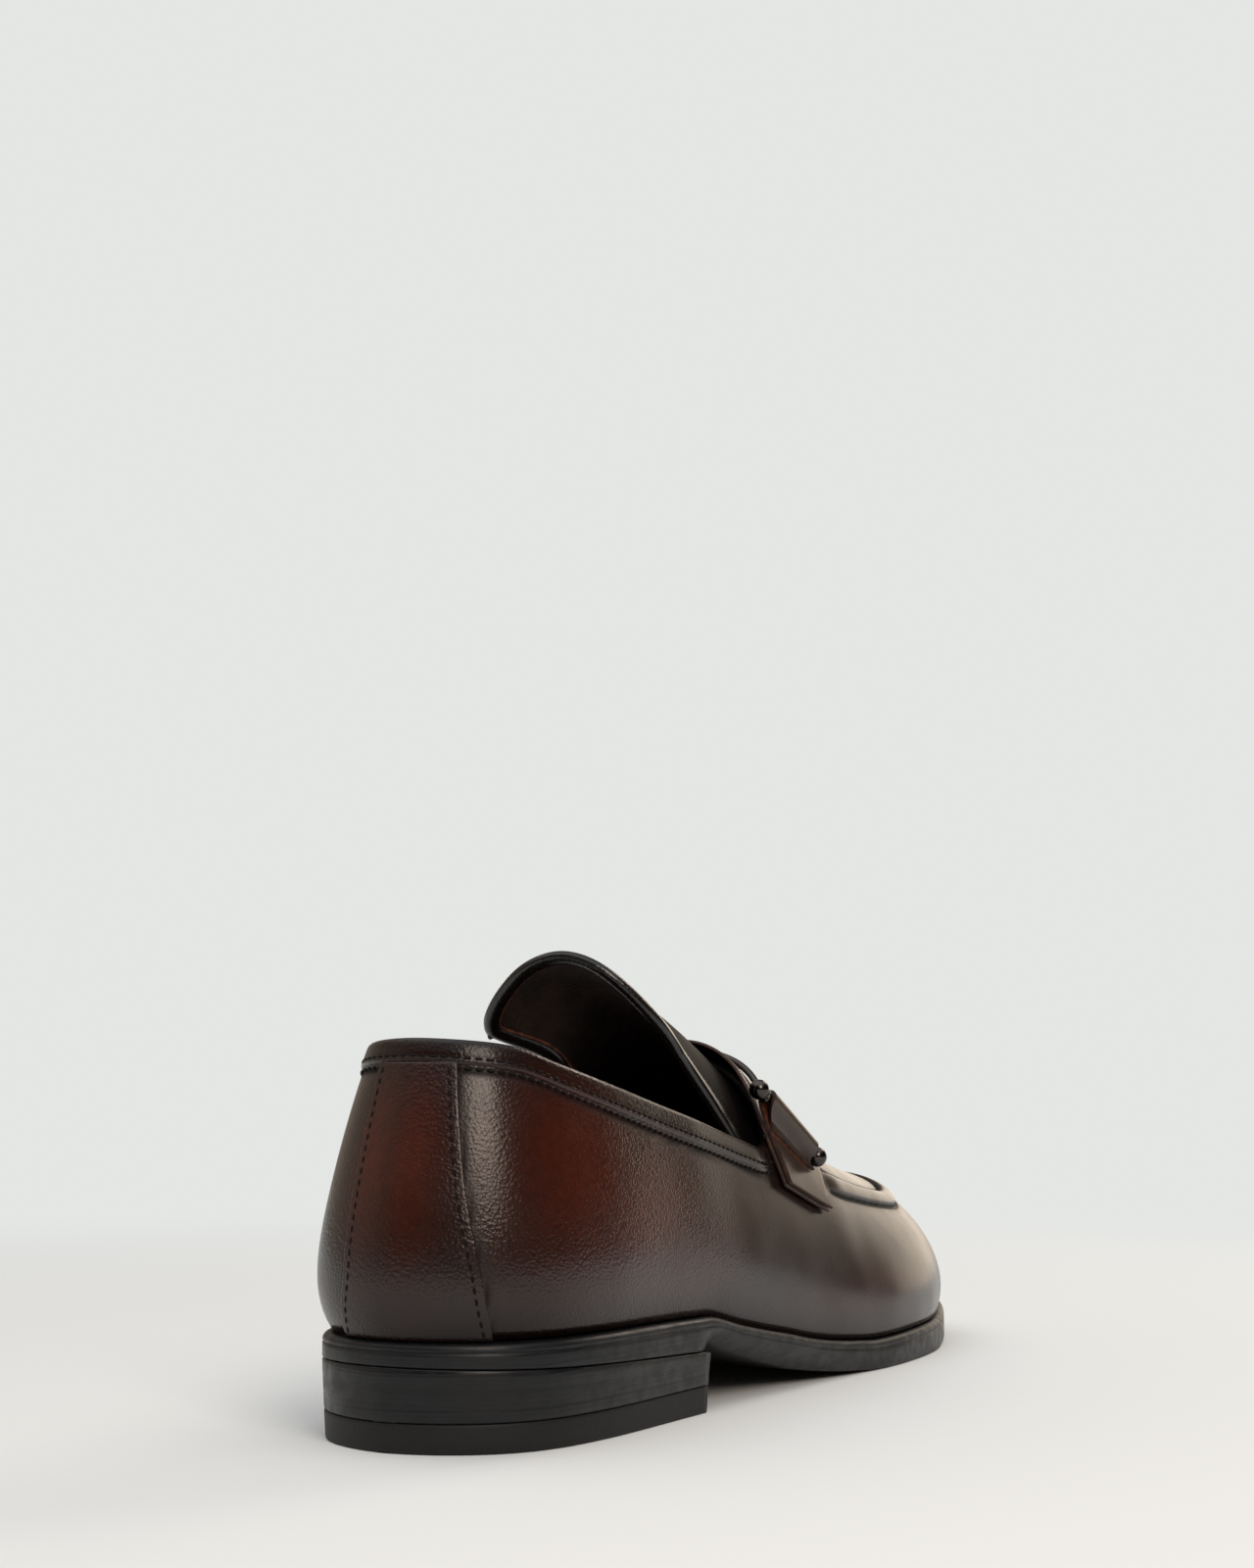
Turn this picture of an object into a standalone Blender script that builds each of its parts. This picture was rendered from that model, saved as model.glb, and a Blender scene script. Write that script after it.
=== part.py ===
"""A man's slip-on bit loafer for the right foot, standing empty on its sole.

Toe along +X, the wearer's left (the inner side of the foot) along +Y, up along +Z.
The floor is Z = 0 and the origin is under the middle of the shoe.
Lengths are in metres. Stations count from the back of the heel, as shares of LENGTH.
"""
import math

import bmesh
import bpy
import numpy as np
from mathutils import Vector

# Sizes of the last and the upper
LENGTH = 0.300
BALL_WIDTH = 0.103
INSTEP_HEIGHT = 0.0895
BACK_HEIGHT = 0.0898
WALL = 0.0020
FEATHER_INSET = 0.0020
BULGE = 0.0042
BULGE_HEIGHT = 0.016
BAND_WIDTH = 0.0065
BAND_PROUD = 0.0008
STRIP_PROUD = 0.0009
HEEL_ROUND = 0.45      # radius of the heel's plan as a share of LENGTH / 2
HEEL_LEAN = 0.28       # how much of that radius is gone at the topline
RIDGE_WIDTH = 0.0064
RIDGE_PROUD = 0.0015
STEP_RUN = 0.0005

# Sizes of the bottom
HEEL_LENGTH = 0.089
HEEL_TAPER = 0.0010
TOP_LIFT = 0.0065
STACK_BACK = 0.0115
STACK_BREAST = 0.0076
SEAT_STEP = 0.0024
SEAT_RUN = 0.0070
SOLE_THICKNESS = 0.0086
SOLE_EDGE_ROUND = 0.0012
WAIST_BEVEL = 0.0055
TOE_SPRING = 0.0075
INSOLE_THICKNESS = 0.0030

# Sizes of the tongue, the strap and the bit
TONGUE_THICKNESS = 0.0022
TONGUE_GAP = 0.0009
TONGUE_TUCK = 0.012
TONGUE_TWIST = 0.0065
TONGUE_WIDTH = 0.054
TONGUE_DROP = 0.0180
TONGUE_ROUND = 1.9
TONGUE_LOW = 0.28
TONGUE_HIGH = 0.55
STRAP_THICKNESS = 0.0011
STRAP_LIFT = 0.0005
PLY = 0.0011
PLY_GAP = 0.0002
BAR_RADIUS = 0.0012
BRIDGE_RADIUS = 0.0010
BALL_RADIUS = 0.0027
EYE_CLEARANCE = 0.0006
CHEEK_LENGTH = 0.032
BAR_SLACK = 0.0012
LOOP_FOOT = 0.004      # rise from the strap's end to the loop's
BIT_PLACE = 0.30       # where the bit's bar meets the cheek, from its rear end
GAP = 0.0003
UPPER_GAP = 0.0006

# Outline of the sole: share of LENGTH, share of BALL_WIDTH, from the heel's back round the right side
OUTLINE = (
    (0.000, 0.000), (0.018, -0.170), (0.063, -0.287), (0.140, -0.338), (0.267, -0.352),
    (0.383, -0.362), (0.500, -0.379), (0.600, -0.400), (0.683, -0.408), (0.767, -0.388),
    (0.840, -0.335), (0.907, -0.256), (0.960, -0.148), (0.992, -0.022), (1.000, 0.087),
    (0.992, 0.206), (0.960, 0.335), (0.900, 0.452), (0.827, 0.540), (0.740, 0.585),
    (0.660, 0.568), (0.567, 0.476), (0.467, 0.379), (0.373, 0.322), (0.267, 0.307),
    (0.140, 0.322), (0.063, 0.278), (0.018, 0.168),
)

# Station, crown of the last as a share of INSTEP_HEIGHT
CROWN = (
    (0.000, 1.275), (0.110, 1.300), (0.200, 1.325), (0.293, 1.300), (0.333, 1.262), (0.383, 1.204),
    (0.433, 1.142), (0.483, 1.064), (0.533, 0.972), (0.580, 0.888), (0.630, 0.790), (0.690, 0.700),
    (0.760, 0.637), (0.833, 0.592), (0.880, 0.573), (0.920, 0.552), (0.960, 0.520), (1.000, 0.475),
)

# Station, topline as a share of BACK_HEIGHT; where it passes the crown the vamp is closed
TOPLINE = (
    (0.000, 1.000), (0.050, 0.985), (0.110, 0.940), (0.210, 0.865), (0.277, 0.815), (0.340, 0.770),
    (0.400, 0.725), (0.443, 0.700), (0.467, 0.715), (0.493, 0.795), (0.517, 0.920), (0.540, 1.060),
)

# Station, sideways place of the last's crest as a share of BALL_WIDTH, bulge as a share of BULGE
CREST = (
    (0.00, 0.000, 1.00), (0.12, 0.005, 0.75), (0.35, 0.068, 0.35), (0.55, 0.088, 0.32),
    (0.75, 0.088, 0.45), (1.00, 0.087, 0.65),
)

# Station, underside of the waist and forepart as a share of its height at the heel's breast
ARCH = (
    (0.367, 0.700), (0.433, 0.420), (0.500, 0.190), (0.567, 0.060), (0.630, 0.000), (1.000, 0.000),
)

# Station, toe spring as a share of TOE_SPRING
SPRING = ((0.000, 0.000), (0.775, 0.000), (0.850, 0.120), (0.920, 0.420), (1.000, 1.000))

# Station, thickness as a share of SOLE_THICKNESS, bevel under the edge as a share of WAIST_BEVEL
EDGE = (
    (0.000, 0.64, 0.0), (0.280, 0.67, 0.0), (0.315, 0.70, 0.9), (0.380, 0.84, 1.0), (0.470, 1.00, 0.9),
    (0.570, 0.97, 0.3), (0.640, 0.94, 0.0), (0.800, 1.00, 0.0), (1.000, 0.93, 0.0),
)

# Share of the way up to the topline, the heel strip's right and left edge from the middle of the back
STRIP_EDGE = (
    (0.00, 0.0245, 0.0138), (0.08, 0.0224, 0.0115), (0.20, 0.0203, 0.0094), (0.45, 0.0162, 0.0092),
    (0.72, 0.0134, 0.0090), (1.00, 0.0112, 0.0088),
)

# Station, rise of the apron seam between the feather (0) and the crest (1)
APRON = ((0.433, 0.330), (0.573, 0.385), (0.690, 0.460), (0.833, 0.520), (0.917, 0.620), (1.000, 0.740))

# Place across the tongue (0 at its middle, 1 at its edge), station of its free edge
TONGUE_EDGE = ((0.00, 0.293), (0.25, 0.295), (0.50, 0.306), (0.75, 0.322), (1.00, 0.345))

# Rise, rear edge and front edge of the strap as stations
STRAP = (
    (0.30, 0.467, 0.551), (0.40, 0.460, 0.565), (0.55, 0.471, 0.587), (0.75, 0.497, 0.610),
    (1.00, 0.517, 0.623),
)

# The bar that the strap's loops hold: station and rise at its rear and front end
CHEEK_REAR = (0.446, 0.485)
CHEEK_FRONT = (0.523, 0.410)
BIT_CREST = 0.541
LOOP_REAR = 0.13
LOOP_FRONT = 0.87

# Places on a loop's two plies, from the strap's foot (0) to the bar (1)
INNER_STEPS = [0.0, 0.2, 0.4, 0.6, 0.8]
OUTER_STEPS = [0.78, 0.64]

# How finely the surfaces are cut; the throat's sections by their distance from its front
THROAT_STEPS = (-0.0006, 0.0006, 0.0022, 0.0045, 0.0075, 0.0110, 0.0150)
SIDE_STEPS = 40
WALL_ROWS = 7
CAP_ROWS = 4


def smooth(rows, x, column=1):
    """Reads a table's column at x on a smooth curve that never overshoots its rows."""
    table = np.array([(row[0], row[column]) for row in rows], float)
    xs, ys = table[:, 0], table[:, 1]
    x = np.clip(np.asarray(x, float), xs[0], xs[-1])
    run = np.diff(xs)
    grade = np.diff(ys) / run
    slope = np.zeros(len(xs))
    slope[0], slope[-1] = grade[0], grade[-1]
    for i in range(1, len(xs) - 1):
        if grade[i - 1] * grade[i] > 0:
            before, after = 2 * run[i] + run[i - 1], run[i] + 2 * run[i - 1]
            slope[i] = (before + after) / (before / grade[i - 1] + after / grade[i])
    k = np.clip(np.searchsorted(xs, x, side="right") - 1, 0, len(run) - 1)
    t = (x - xs[k]) / run[k]
    start = (1 + 2 * t) * (1 - t) ** 2 * ys[k] + t * (1 - t) ** 2 * run[k] * slope[k]
    end = t * t * (3 - 2 * t) * ys[k + 1] + t * t * (t - 1) * run[k] * slope[k + 1]
    return start + end


def ramp(x, start, end):
    """0 before start, 1 after end and smooth between."""
    t = np.clip((np.asarray(x, float) - start) / (end - start), 0, 1)
    return t * t * (3 - 2 * t)


def closed_curve(points, steps=40):
    """A smooth closed curve through the outline's points."""
    p = np.array(points, float)
    t = np.linspace(0, 1, steps, endpoint=False)[:, None]
    spans = []
    for i in range(len(p)):
        a, b, c, d = p[i - 1], p[i], p[(i + 1) % len(p)], p[(i + 2) % len(p)]
        spans.append(0.5 * (2 * b + (c - a) * t + (2 * a - 5 * b + 4 * c - d) * t ** 2
                            + (3 * b - a - 3 * c + d) * t ** 3))
    return np.concatenate(spans)


TOE_POINT = max(range(len(OUTLINE)), key=lambda i: OUTLINE[i][0])
CURVE = closed_curve(OUTLINE) * (LENGTH, BALL_WIDTH)
TOE_INDEX = TOE_POINT * (len(CURVE) // len(OUTLINE))
RIGHT_CURVE = CURVE[:TOE_INDEX + 1]
LEFT_CURVE = np.concatenate([CURVE[TOE_INDEX:], CURVE[:1]])[::-1]
MIDDLE_Y = (CURVE[:, 1].min() + CURVE[:, 1].max()) / 2

HEEL_BACK = TOP_LIFT + STACK_BACK + 2 * GAP
HEEL_BREAST = TOP_LIFT + STACK_BREAST + 2 * GAP
WAIST_RISE = HEEL_BREAST + SEAT_STEP


def station_of(angle):
    """Distance from the heel's back: the angle runs from 0 there to pi at the toe."""
    return LENGTH * (1 - np.cos(angle)) / 2


def angle_of(station):
    return np.arccos(1 - 2 * np.clip(np.asarray(station, float), 0, 1))


def sole_edge(angle, side, inset=0.0):
    """Plan point of the sole's outline; side is -1 on the right and 1 on the left."""
    def at(a):
        x = station_of(a)
        right = np.interp(x, RIGHT_CURVE[:, 0], RIGHT_CURVE[:, 1])
        left = np.interp(x, LEFT_CURVE[:, 0], LEFT_CURVE[:, 1])
        return x, np.where(side < 0, right, left)
    angle, side = np.broadcast_arrays(np.asarray(angle, float), np.asarray(side, float))
    step = 0.02
    x, y = at(angle)
    x0, y0 = at(np.maximum(angle - step, 0))
    x1, y1 = at(np.minimum(angle + step, math.pi))
    along_x, along_y = x1 - x0, y1 - y0
    at_tip = (angle < step) | (angle > math.pi - step)
    blend = np.minimum(angle, math.pi - angle) / step
    along_x = np.where(at_tip, along_x * blend, along_x)
    size = np.hypot(along_x, along_y)
    out_x, out_y = -along_y / size * side, along_x / size * side
    return np.stack([x - out_x * inset, y - out_y * inset], -1), np.stack([out_x, out_y], -1)


def underside(x):
    """Height of the sole's underside, without the heel seat."""
    rows = [(0.0, HEEL_BACK), (HEEL_LENGTH, WAIST_RISE)]
    rows += [(station * LENGTH, share * WAIST_RISE) for station, share in ARCH]
    return smooth(rows, x) + TOE_SPRING * smooth(SPRING, x / LENGTH)


def seat(x):
    """Height of the flat heel seat that the stack carries."""
    return HEEL_BACK + (HEEL_BREAST - HEEL_BACK) * x / HEEL_LENGTH


def tread(x):
    """Height of the sole's whole underside: seat, short step at the breast, waist and forepart."""
    away = ramp(x, HEEL_LENGTH + GAP, HEEL_LENGTH + SEAT_RUN)
    return seat(np.minimum(x, HEEL_LENGTH + SEAT_RUN)) * (1 - away) + underside(x) * away


def feather(x):
    """Height of the sole's top, where the upper meets it."""
    return underside(x) + SOLE_THICKNESS * smooth(EDGE, x / LENGTH)


def crest_station(x):
    """The crest's point that a section starts from: fans close it at the heel and the toe."""
    heel_fan, toe_fan = 0.23 * LENGTH, 0.73 * LENGTH
    back = np.maximum(heel_fan - x, 0) ** 2 / (2 * heel_fan)
    front = np.maximum(x - toe_fan, 0) ** 2 / (2 * (LENGTH - toe_fan))
    return x + back - front


def last_surface(angle, side, rise):
    """The last's outside: rise 0 is the feather edge and rise 1 the crest."""
    angle, side, rise = np.broadcast_arrays(*(np.asarray(v, float) for v in (angle, side, rise)))
    x = station_of(angle)
    foot, outward = sole_edge(angle, side, FEATHER_INSET)
    crest_x = crest_station(x)
    crest_y = BALL_WIDTH * smooth(CREST, crest_x / LENGTH)
    turn = rise * math.pi / 2
    inward, height = np.cos(turn), np.sin(turn)
    px = crest_x + (foot[..., 0] - crest_x) * inward
    py = crest_y + (foot[..., 1] - crest_y) * inward
    base = feather(foot[..., 0]) + UPPER_GAP
    crown = INSTEP_HEIGHT * smooth(CROWN, px / LENGTH)
    pz = base + (crown - base) * height
    up = (pz - base) / BULGE_HEIGHT
    swell = BULGE * smooth(CREST, x / LENGTH, 2) * up * np.exp(1 - up) * inward
    return np.stack([px + outward[..., 0] * swell, py + outward[..., 1] * swell, pz], -1)


def skin(angle, side, rise, lift=0.0):
    """A point at the given lift outside the last's surface."""
    angle, side, rise = np.broadcast_arrays(*(np.asarray(v, float) for v in (angle, side, rise)))
    point = last_surface(angle, side, rise)
    a = np.clip(angle, 0.03, math.pi - 0.03)
    r = np.clip(rise, 0.01, 0.985)
    step = 0.01
    along = last_surface(a + step, side, r) - last_surface(a - step, side, r)
    across = last_surface(a, side, r + step) - last_surface(a, side, r - step)
    normal = np.cross(along, across) * -side[..., None]
    normal /= np.linalg.norm(normal, axis=-1, keepdims=True)
    return point + normal * np.asarray(lift, float)[..., None]


def arc_length(angle, side):
    """Length of a section from the feather to the crest."""
    rises = np.linspace(0, 1, 9)
    points = [last_surface(angle, side, r) for r in rises]
    return sum(np.linalg.norm(b - a, axis=-1) for a, b in zip(points, points[1:]))


def topline_rise(angle):
    """Rise at which the collar or throat cuts a section; 1 where the vamp is closed."""
    x = station_of(angle)
    base = feather(x) + UPPER_GAP
    crown = INSTEP_HEIGHT * smooth(CROWN, x / LENGTH)
    share = (BACK_HEIGHT * smooth(TOPLINE, x / LENGTH) - base) / (crown - base)
    closed = x > TOPLINE[-1][0] * LENGTH
    return np.where(closed, 1.0, np.arcsin(np.clip(share, 0, 1)) / (math.pi / 2))


def throat_angles():
    """Extra sections where the throat's edge climbs to the crest, closer and closer together."""
    stations = np.linspace(0.45, 0.60, 3001)
    closing = stations[np.argmax(topline_rise(angle_of(stations)) > 0.999)]
    return [float(angle_of(closing - step / LENGTH)) for step in THROAT_STEPS]


def side_angles(extra=()):
    """Section angles of one side, with the named extra stations worked in."""
    even = np.linspace(0, math.pi, SIDE_STEPS + 1)
    extra = np.array(sorted(extra))
    keep = [a for a in even if not len(extra) or np.abs(extra - a).min() > 0.3 * math.pi / SIDE_STEPS]
    return np.array(sorted(keep + list(extra)))


def ring(angles):
    """Angles and sides once round the shoe: right side to the toe and left side back."""
    angle = np.concatenate([angles, angles[-2::-1]])
    side = np.concatenate([np.full(len(angles), -1.0), np.full(len(angles) - 1, 1.0)])
    return angle, side


def flat_material(name, colour, roughness, metallic=0.0):
    material = bpy.data.materials.new(name)
    material.use_nodes = True
    shader = material.node_tree.nodes["Principled BSDF"]
    shader.inputs["Base Color"].default_value = (*colour, 1.0)
    shader.inputs["Roughness"].default_value = roughness
    shader.inputs["Metallic"].default_value = metallic
    return material


def middle_x():
    """Middle of the whole shoe: the upper's heel curve reaches past the sole's back."""
    back = skin(0.0, -1.0, np.linspace(0, 0.5, 26), STRIP_PROUD)[:, 0].min()
    return (LENGTH + min(back, 0.0)) / 2


def centred(points):
    """From the last's own frame to the part's: the origin is under the middle of the shoe."""
    return points - (MIDDLE_X, MIDDLE_Y, 0)


def grid_object(name, points, material, closed=True, thickness=0.0, offset=-1.0):
    """A grid laid on the given rows and columns of points, welded where they meet."""
    points = centred(points)
    rows, columns = points.shape[:2]
    mesh = bpy.data.meshes.new(name)
    bm = bmesh.new()
    bmesh.ops.create_grid(bm, x_segments=columns - 1, y_segments=rows - 1, size=1)
    for vertex in bm.verts:
        column = round((vertex.co.x + 1) / 2 * (columns - 1))
        row = round((vertex.co.y + 1) / 2 * (rows - 1))
        vertex.co = points[row, column]
    bmesh.ops.remove_doubles(bm, verts=bm.verts, dist=0.00002)
    bmesh.ops.dissolve_degenerate(bm, edges=bm.edges, dist=0.00001)
    bmesh.ops.triangulate(bm, faces=bm.faces)
    if closed:
        bmesh.ops.recalc_face_normals(bm, faces=bm.faces)
    bm.to_mesh(mesh)
    bm.free()
    mesh.shade_smooth()
    mesh.materials.append(material)
    thing = bpy.data.objects.new(name, mesh)
    shoe.objects.link(thing)
    if thickness:
        wall = thing.modifiers.new("wall", "SOLIDIFY")
        wall.thickness = thickness
        wall.offset = offset
        wall.use_even_offset = False
    return thing


def make_upper():
    """One hollow wall: heel strip, collar band and apron seam are steps in its outside."""
    strip_angle = 3 * math.pi / SIDE_STEPS
    half_step = STEP_RUN / (LENGTH / 2 * HEEL_ROUND)
    angles = side_angles([strip_angle - half_step, strip_angle + half_step] + throat_angles())
    angle, side = ring(angles)
    x = station_of(angle)
    end = topline_rise(angle)
    length = arc_length(angle, side)

    # Rows: the wall, then the band or the seam's ridge, then the cap over the crest
    fore = ramp(x, 0.42 * LENGTH, 0.50 * LENGTH)
    band_foot = end - BAND_WIDTH / length
    seam = smooth(APRON, x / LENGTH)
    first = band_foot * (1 - fore) + np.minimum(seam, end - 3 * STEP_RUN / length) * fore
    last = np.minimum(first + (RIDGE_WIDTH * fore + BAND_WIDTH * 0.5 * (1 - fore)) / length, end)
    band = BAND_PROUD * (1 - ramp(x, 0.39 * LENGTH, 0.425 * LENGTH))
    ridge = RIDGE_PROUD * ramp(x, 0.575 * LENGTH, 0.61 * LENGTH)

    rises, lifts = [], []
    for i in range(WALL_ROWS + 1):
        rises.append(first * i / WALL_ROWS)
        lifts.append(0 * x)
    rises.append(first + STEP_RUN / length)
    lifts.append(band + ridge * 0.55)
    rises.append(first + (last - first) * 0.5)
    lifts.append(band + ridge)
    rises.append(last - STEP_RUN / length * fore)
    lifts.append(band + ridge * 0.55)
    rises.append(last)
    lifts.append(band)
    for i in range(1, CAP_ROWS + 1):
        rises.append(last + (end - last) * i / CAP_ROWS)
        lifts.append(band)
    rises, lifts = np.array(rises), np.array(lifts)

    # The heel strip flares towards the sole, so the sections beside it lean with its edge
    share = rises / rises.max(axis=0)
    reach = np.where(side < 0, smooth(STRIP_EDGE, share), smooth(STRIP_EDGE, share, 2))
    edge_angle = reach / (LENGTH / 2 * HEEL_ROUND * (1 - HEEL_LEAN * share))
    inside = np.minimum(angle / strip_angle, 1)
    fade = inside * (1 - ramp(angle, strip_angle, 0.8))
    angle_grid = angle + (edge_angle - strip_angle) * fade
    lifts = lifts + STRIP_PROUD * (angle < strip_angle)
    rises = np.where(end > 0.999, rises, rises * topline_rise(angle_grid) / np.where(end > 0, end, 1))
    points = skin(angle_grid, side + 0 * rises, rises, lifts)
    return grid_object("upper", points, leather, closed=False, thickness=WALL)


def flat_ring(angle, side, inset, height, share=1.0):
    """A ring over the sole's plan: share 1 is its edge and share 0 the crest line."""
    edge, _ = sole_edge(angle, side, inset)
    x = station_of(angle)
    middle_x = crest_station(x)
    middle_y = BALL_WIDTH * smooth(CREST, middle_x / LENGTH)
    px = middle_x + (edge[..., 0] - middle_x) * share
    py = middle_y + (edge[..., 1] - middle_y) * share
    return np.stack([px, py, height(px)], -1)


def breast_angles():
    return (angle_of((HEEL_LENGTH + GAP) / LENGTH), angle_of((HEEL_LENGTH + SEAT_RUN) / LENGTH))


def make_outsole():
    angle, side = ring(side_angles(breast_angles()))
    x = station_of(angle)
    bevel = WAIST_BEVEL * smooth(EDGE, x / LENGTH, 2)
    mid = lambda s: tread(s) + (feather(s) - tread(s)) * 0.45
    rows = [flat_ring(angle, side, SOLE_EDGE_ROUND, feather, share) for share in (0, 0.5, 1)]
    rows.append(flat_ring(angle, side, 0, lambda s: feather(s) - SOLE_EDGE_ROUND))
    rows.append(flat_ring(angle, side, bevel * 0.15, mid))
    rows.append(flat_ring(angle, side, bevel * 0.55, lambda s: tread(s) + SOLE_EDGE_ROUND))
    rows += [flat_ring(angle, side, SOLE_EDGE_ROUND + bevel, tread, share) for share in (1, 0.5, 0)]
    return grid_object("outsole", np.array(rows), sole_leather)


def make_insole():
    angle, side = ring(side_angles(breast_angles()))
    inset = FEATHER_INSET + WALL + 2 * GAP
    low = lambda s: feather(s) + GAP
    high = lambda s: feather(s) + GAP + INSOLE_THICKNESS
    rows = [flat_ring(angle, side, inset, low, share) for share in (0, 0.5, 1)]
    rows += [flat_ring(angle, side, inset, high, share) for share in (1, 0.5, 0)]
    return grid_object("insole", np.array(rows), lining)


def heel_layer(name, low, high, inset_low, inset_high, material):
    """A layer of the heel: the sole's outline, cut off at the breast."""
    angles = side_angles(breast_angles()[:1])
    angles = angles[station_of(angles) <= HEEL_LENGTH + GAP + 1e-6]
    rows = []
    profile = [(0, inset_low, low), (1, inset_low, low), (1, inset_high, high), (0, inset_high, high)]
    for share, inset, height in profile:
        right = sole_edge(angles, -1.0, inset)[0]
        left = sole_edge(angles, 1.0, inset)[0]
        right[-1, 0] = left[-1, 0] = HEEL_LENGTH
        middle = (right + left) / 2
        plan = np.concatenate([middle + (right - middle) * share, (middle + (left - middle) * share)[::-1]])
        z = height(plan[:, 0])
        rows.append(np.column_stack([plan, z]))
    ring_rows = np.array(rows)
    ring_rows = np.concatenate([ring_rows, ring_rows[:, :1]], axis=1)
    return grid_object(name, ring_rows, material)


def make_heel():
    taper = HEEL_TAPER * 0.6
    heel_layer("heel_top_lift", lambda x: 0 * x, lambda x: TOP_LIFT + 0 * x, HEEL_TAPER, taper, rubber)
    heel_layer("heel_stack", lambda x: TOP_LIFT + GAP + 0 * x, lambda x: seat(x) - GAP, taper, 0.0,
               sole_leather)


def tongue_surface(x, across):
    """The tongue's outside: flatter than the last where it stands free, along the last under the strap."""
    side = np.where(across < 0, -1.0, 1.0)
    reach = np.abs(across)
    low = TONGUE_HIGH + (TONGUE_LOW - TONGUE_HIGH) * ramp(x, 0.36 * LENGTH, 0.46 * LENGTH)
    held = skin(angle_of(x / LENGTH), side, 1 - (1 - low) * reach, -(WALL + TONGUE_GAP) + 0 * x)
    out = TONGUE_WIDTH / 2 * np.sin(reach * math.pi / 2)
    height = INSTEP_HEIGHT * smooth(CROWN, x / LENGTH) - WALL - TONGUE_GAP
    drop = TONGUE_DROP * (out / (TONGUE_WIDTH / 2)) ** TONGUE_ROUND
    free = np.stack([x, BALL_WIDTH * smooth(CREST, x / LENGTH) + side * out, height - drop], -1)
    hold = ramp(x, 0.32 * LENGTH, 0.395 * LENGTH)[..., None]
    return free + (held - free) * hold


def make_tongue():
    """A leather wall that is held inside the quarters and stands free behind them."""
    across = np.linspace(-1, 1, 17)
    rear = LENGTH * smooth(TONGUE_EDGE, np.abs(across)) - TONGUE_TWIST * across
    front = TOPLINE[-1][0] * LENGTH + TONGUE_TUCK
    rows = [tongue_surface(rear + (front - rear) * share, across) for share in np.linspace(1, 0, 10)]
    return grid_object("tongue", np.array(rows), leather, closed=False, thickness=TONGUE_THICKNESS)


def strap_angle(rise, share):
    rear, front = smooth(STRAP, rise), smooth(STRAP, rise, 2)
    return angle_of(rear + (front - rear) * share)


def make_strap():
    """The saddle strap: from the right side over the instep to the left side."""
    low = STRAP[0][0]
    rise = np.concatenate([np.linspace(low, 1, 15), np.linspace(1, low, 15)[1:]])
    side = np.concatenate([np.full(15, -1.0), np.full(14, 1.0)])
    lift = STRAP_LIFT + 0 * rise
    rows = np.array([skin(strap_angle(rise, share), side, rise, lift) for share in np.linspace(1, 0, 7)])
    return grid_object("saddle_strap", rows, leather, closed=False, thickness=STRAP_THICKNESS, offset=1.0)


MIDDLE_X = middle_x()
STRAP_TOP = STRAP_LIFT + STRAP_THICKNESS
EYE_RADIUS = BAR_RADIUS + EYE_CLEARANCE + PLY / 2
INNER_PLY = STRAP_TOP + GAP + PLY / 2
BAR_LIFT = INNER_PLY + EYE_RADIUS + BAR_SLACK


def cheek_ends(side):
    """Middle points of the bar's two ends beside the instep."""
    rear = skin(angle_of(CHEEK_REAR[0]), side, CHEEK_REAR[1], BAR_LIFT)
    front = skin(angle_of(CHEEK_FRONT[0]), side, CHEEK_FRONT[1], BAR_LIFT)
    middle = (rear + front) / 2
    along = (front - rear) / np.linalg.norm(front - rear)
    return middle - along * CHEEK_LENGTH / 2, middle + along * CHEEK_LENGTH / 2


def make_loop(name, side):
    """A strip folded round the bar, its two plies sewn down on the strap."""
    rear, front = cheek_ends(side)
    rows = []
    for share in np.linspace(0, 1, 7):
        along = LOOP_REAR + (LOOP_FRONT - LOOP_REAR) * share
        centre = rear + (front - rear) * along
        bar_station = CHEEK_REAR[0] + (CHEEK_FRONT[0] - CHEEK_REAR[0]) * along
        bar_rise = CHEEK_REAR[1] + (CHEEK_FRONT[1] - CHEEK_REAR[1]) * along
        foot_rise = STRAP[0][0] + LOOP_FOOT
        foot_station = STRAP[0][1] + (STRAP[0][2] - STRAP[0][1]) * (0.02 + 0.96 * share)
        foot = skin(angle_of(bar_station), side, bar_rise, 0.0)
        above = skin(angle_of(bar_station), side, bar_rise, 0.01)
        out = (above - foot) / np.linalg.norm(above - foot)
        axis = (front - rear) / np.linalg.norm(front - rear)
        out = out - axis * out.dot(axis)
        out /= np.linalg.norm(out)
        up = np.cross(axis, out)
        up *= np.sign(up[2])
        rise = foot_rise + (bar_rise - foot_rise) * np.array(INNER_STEPS + OUTER_STEPS)
        station = foot_station + (bar_station - foot_station) * np.array(INNER_STEPS + OUTER_STEPS)
        lift = [INNER_PLY] * len(INNER_STEPS) + [INNER_PLY + PLY + PLY_GAP] * len(OUTER_STEPS)
        plies = list(skin(angle_of(station), side, rise, lift))
        inner, outer = plies[:len(INNER_STEPS)], plies[len(INNER_STEPS):]
        turns = np.radians([-90, -45, 0, 45, 90, 130, 165])
        eye = [centre + EYE_RADIUS * (up * math.cos(t) + out * math.sin(t)) for t in turns]
        rows.append(inner + eye + outer)
    return grid_object(name, np.array(rows), leather, closed=False, thickness=PLY, offset=0.0)


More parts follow.
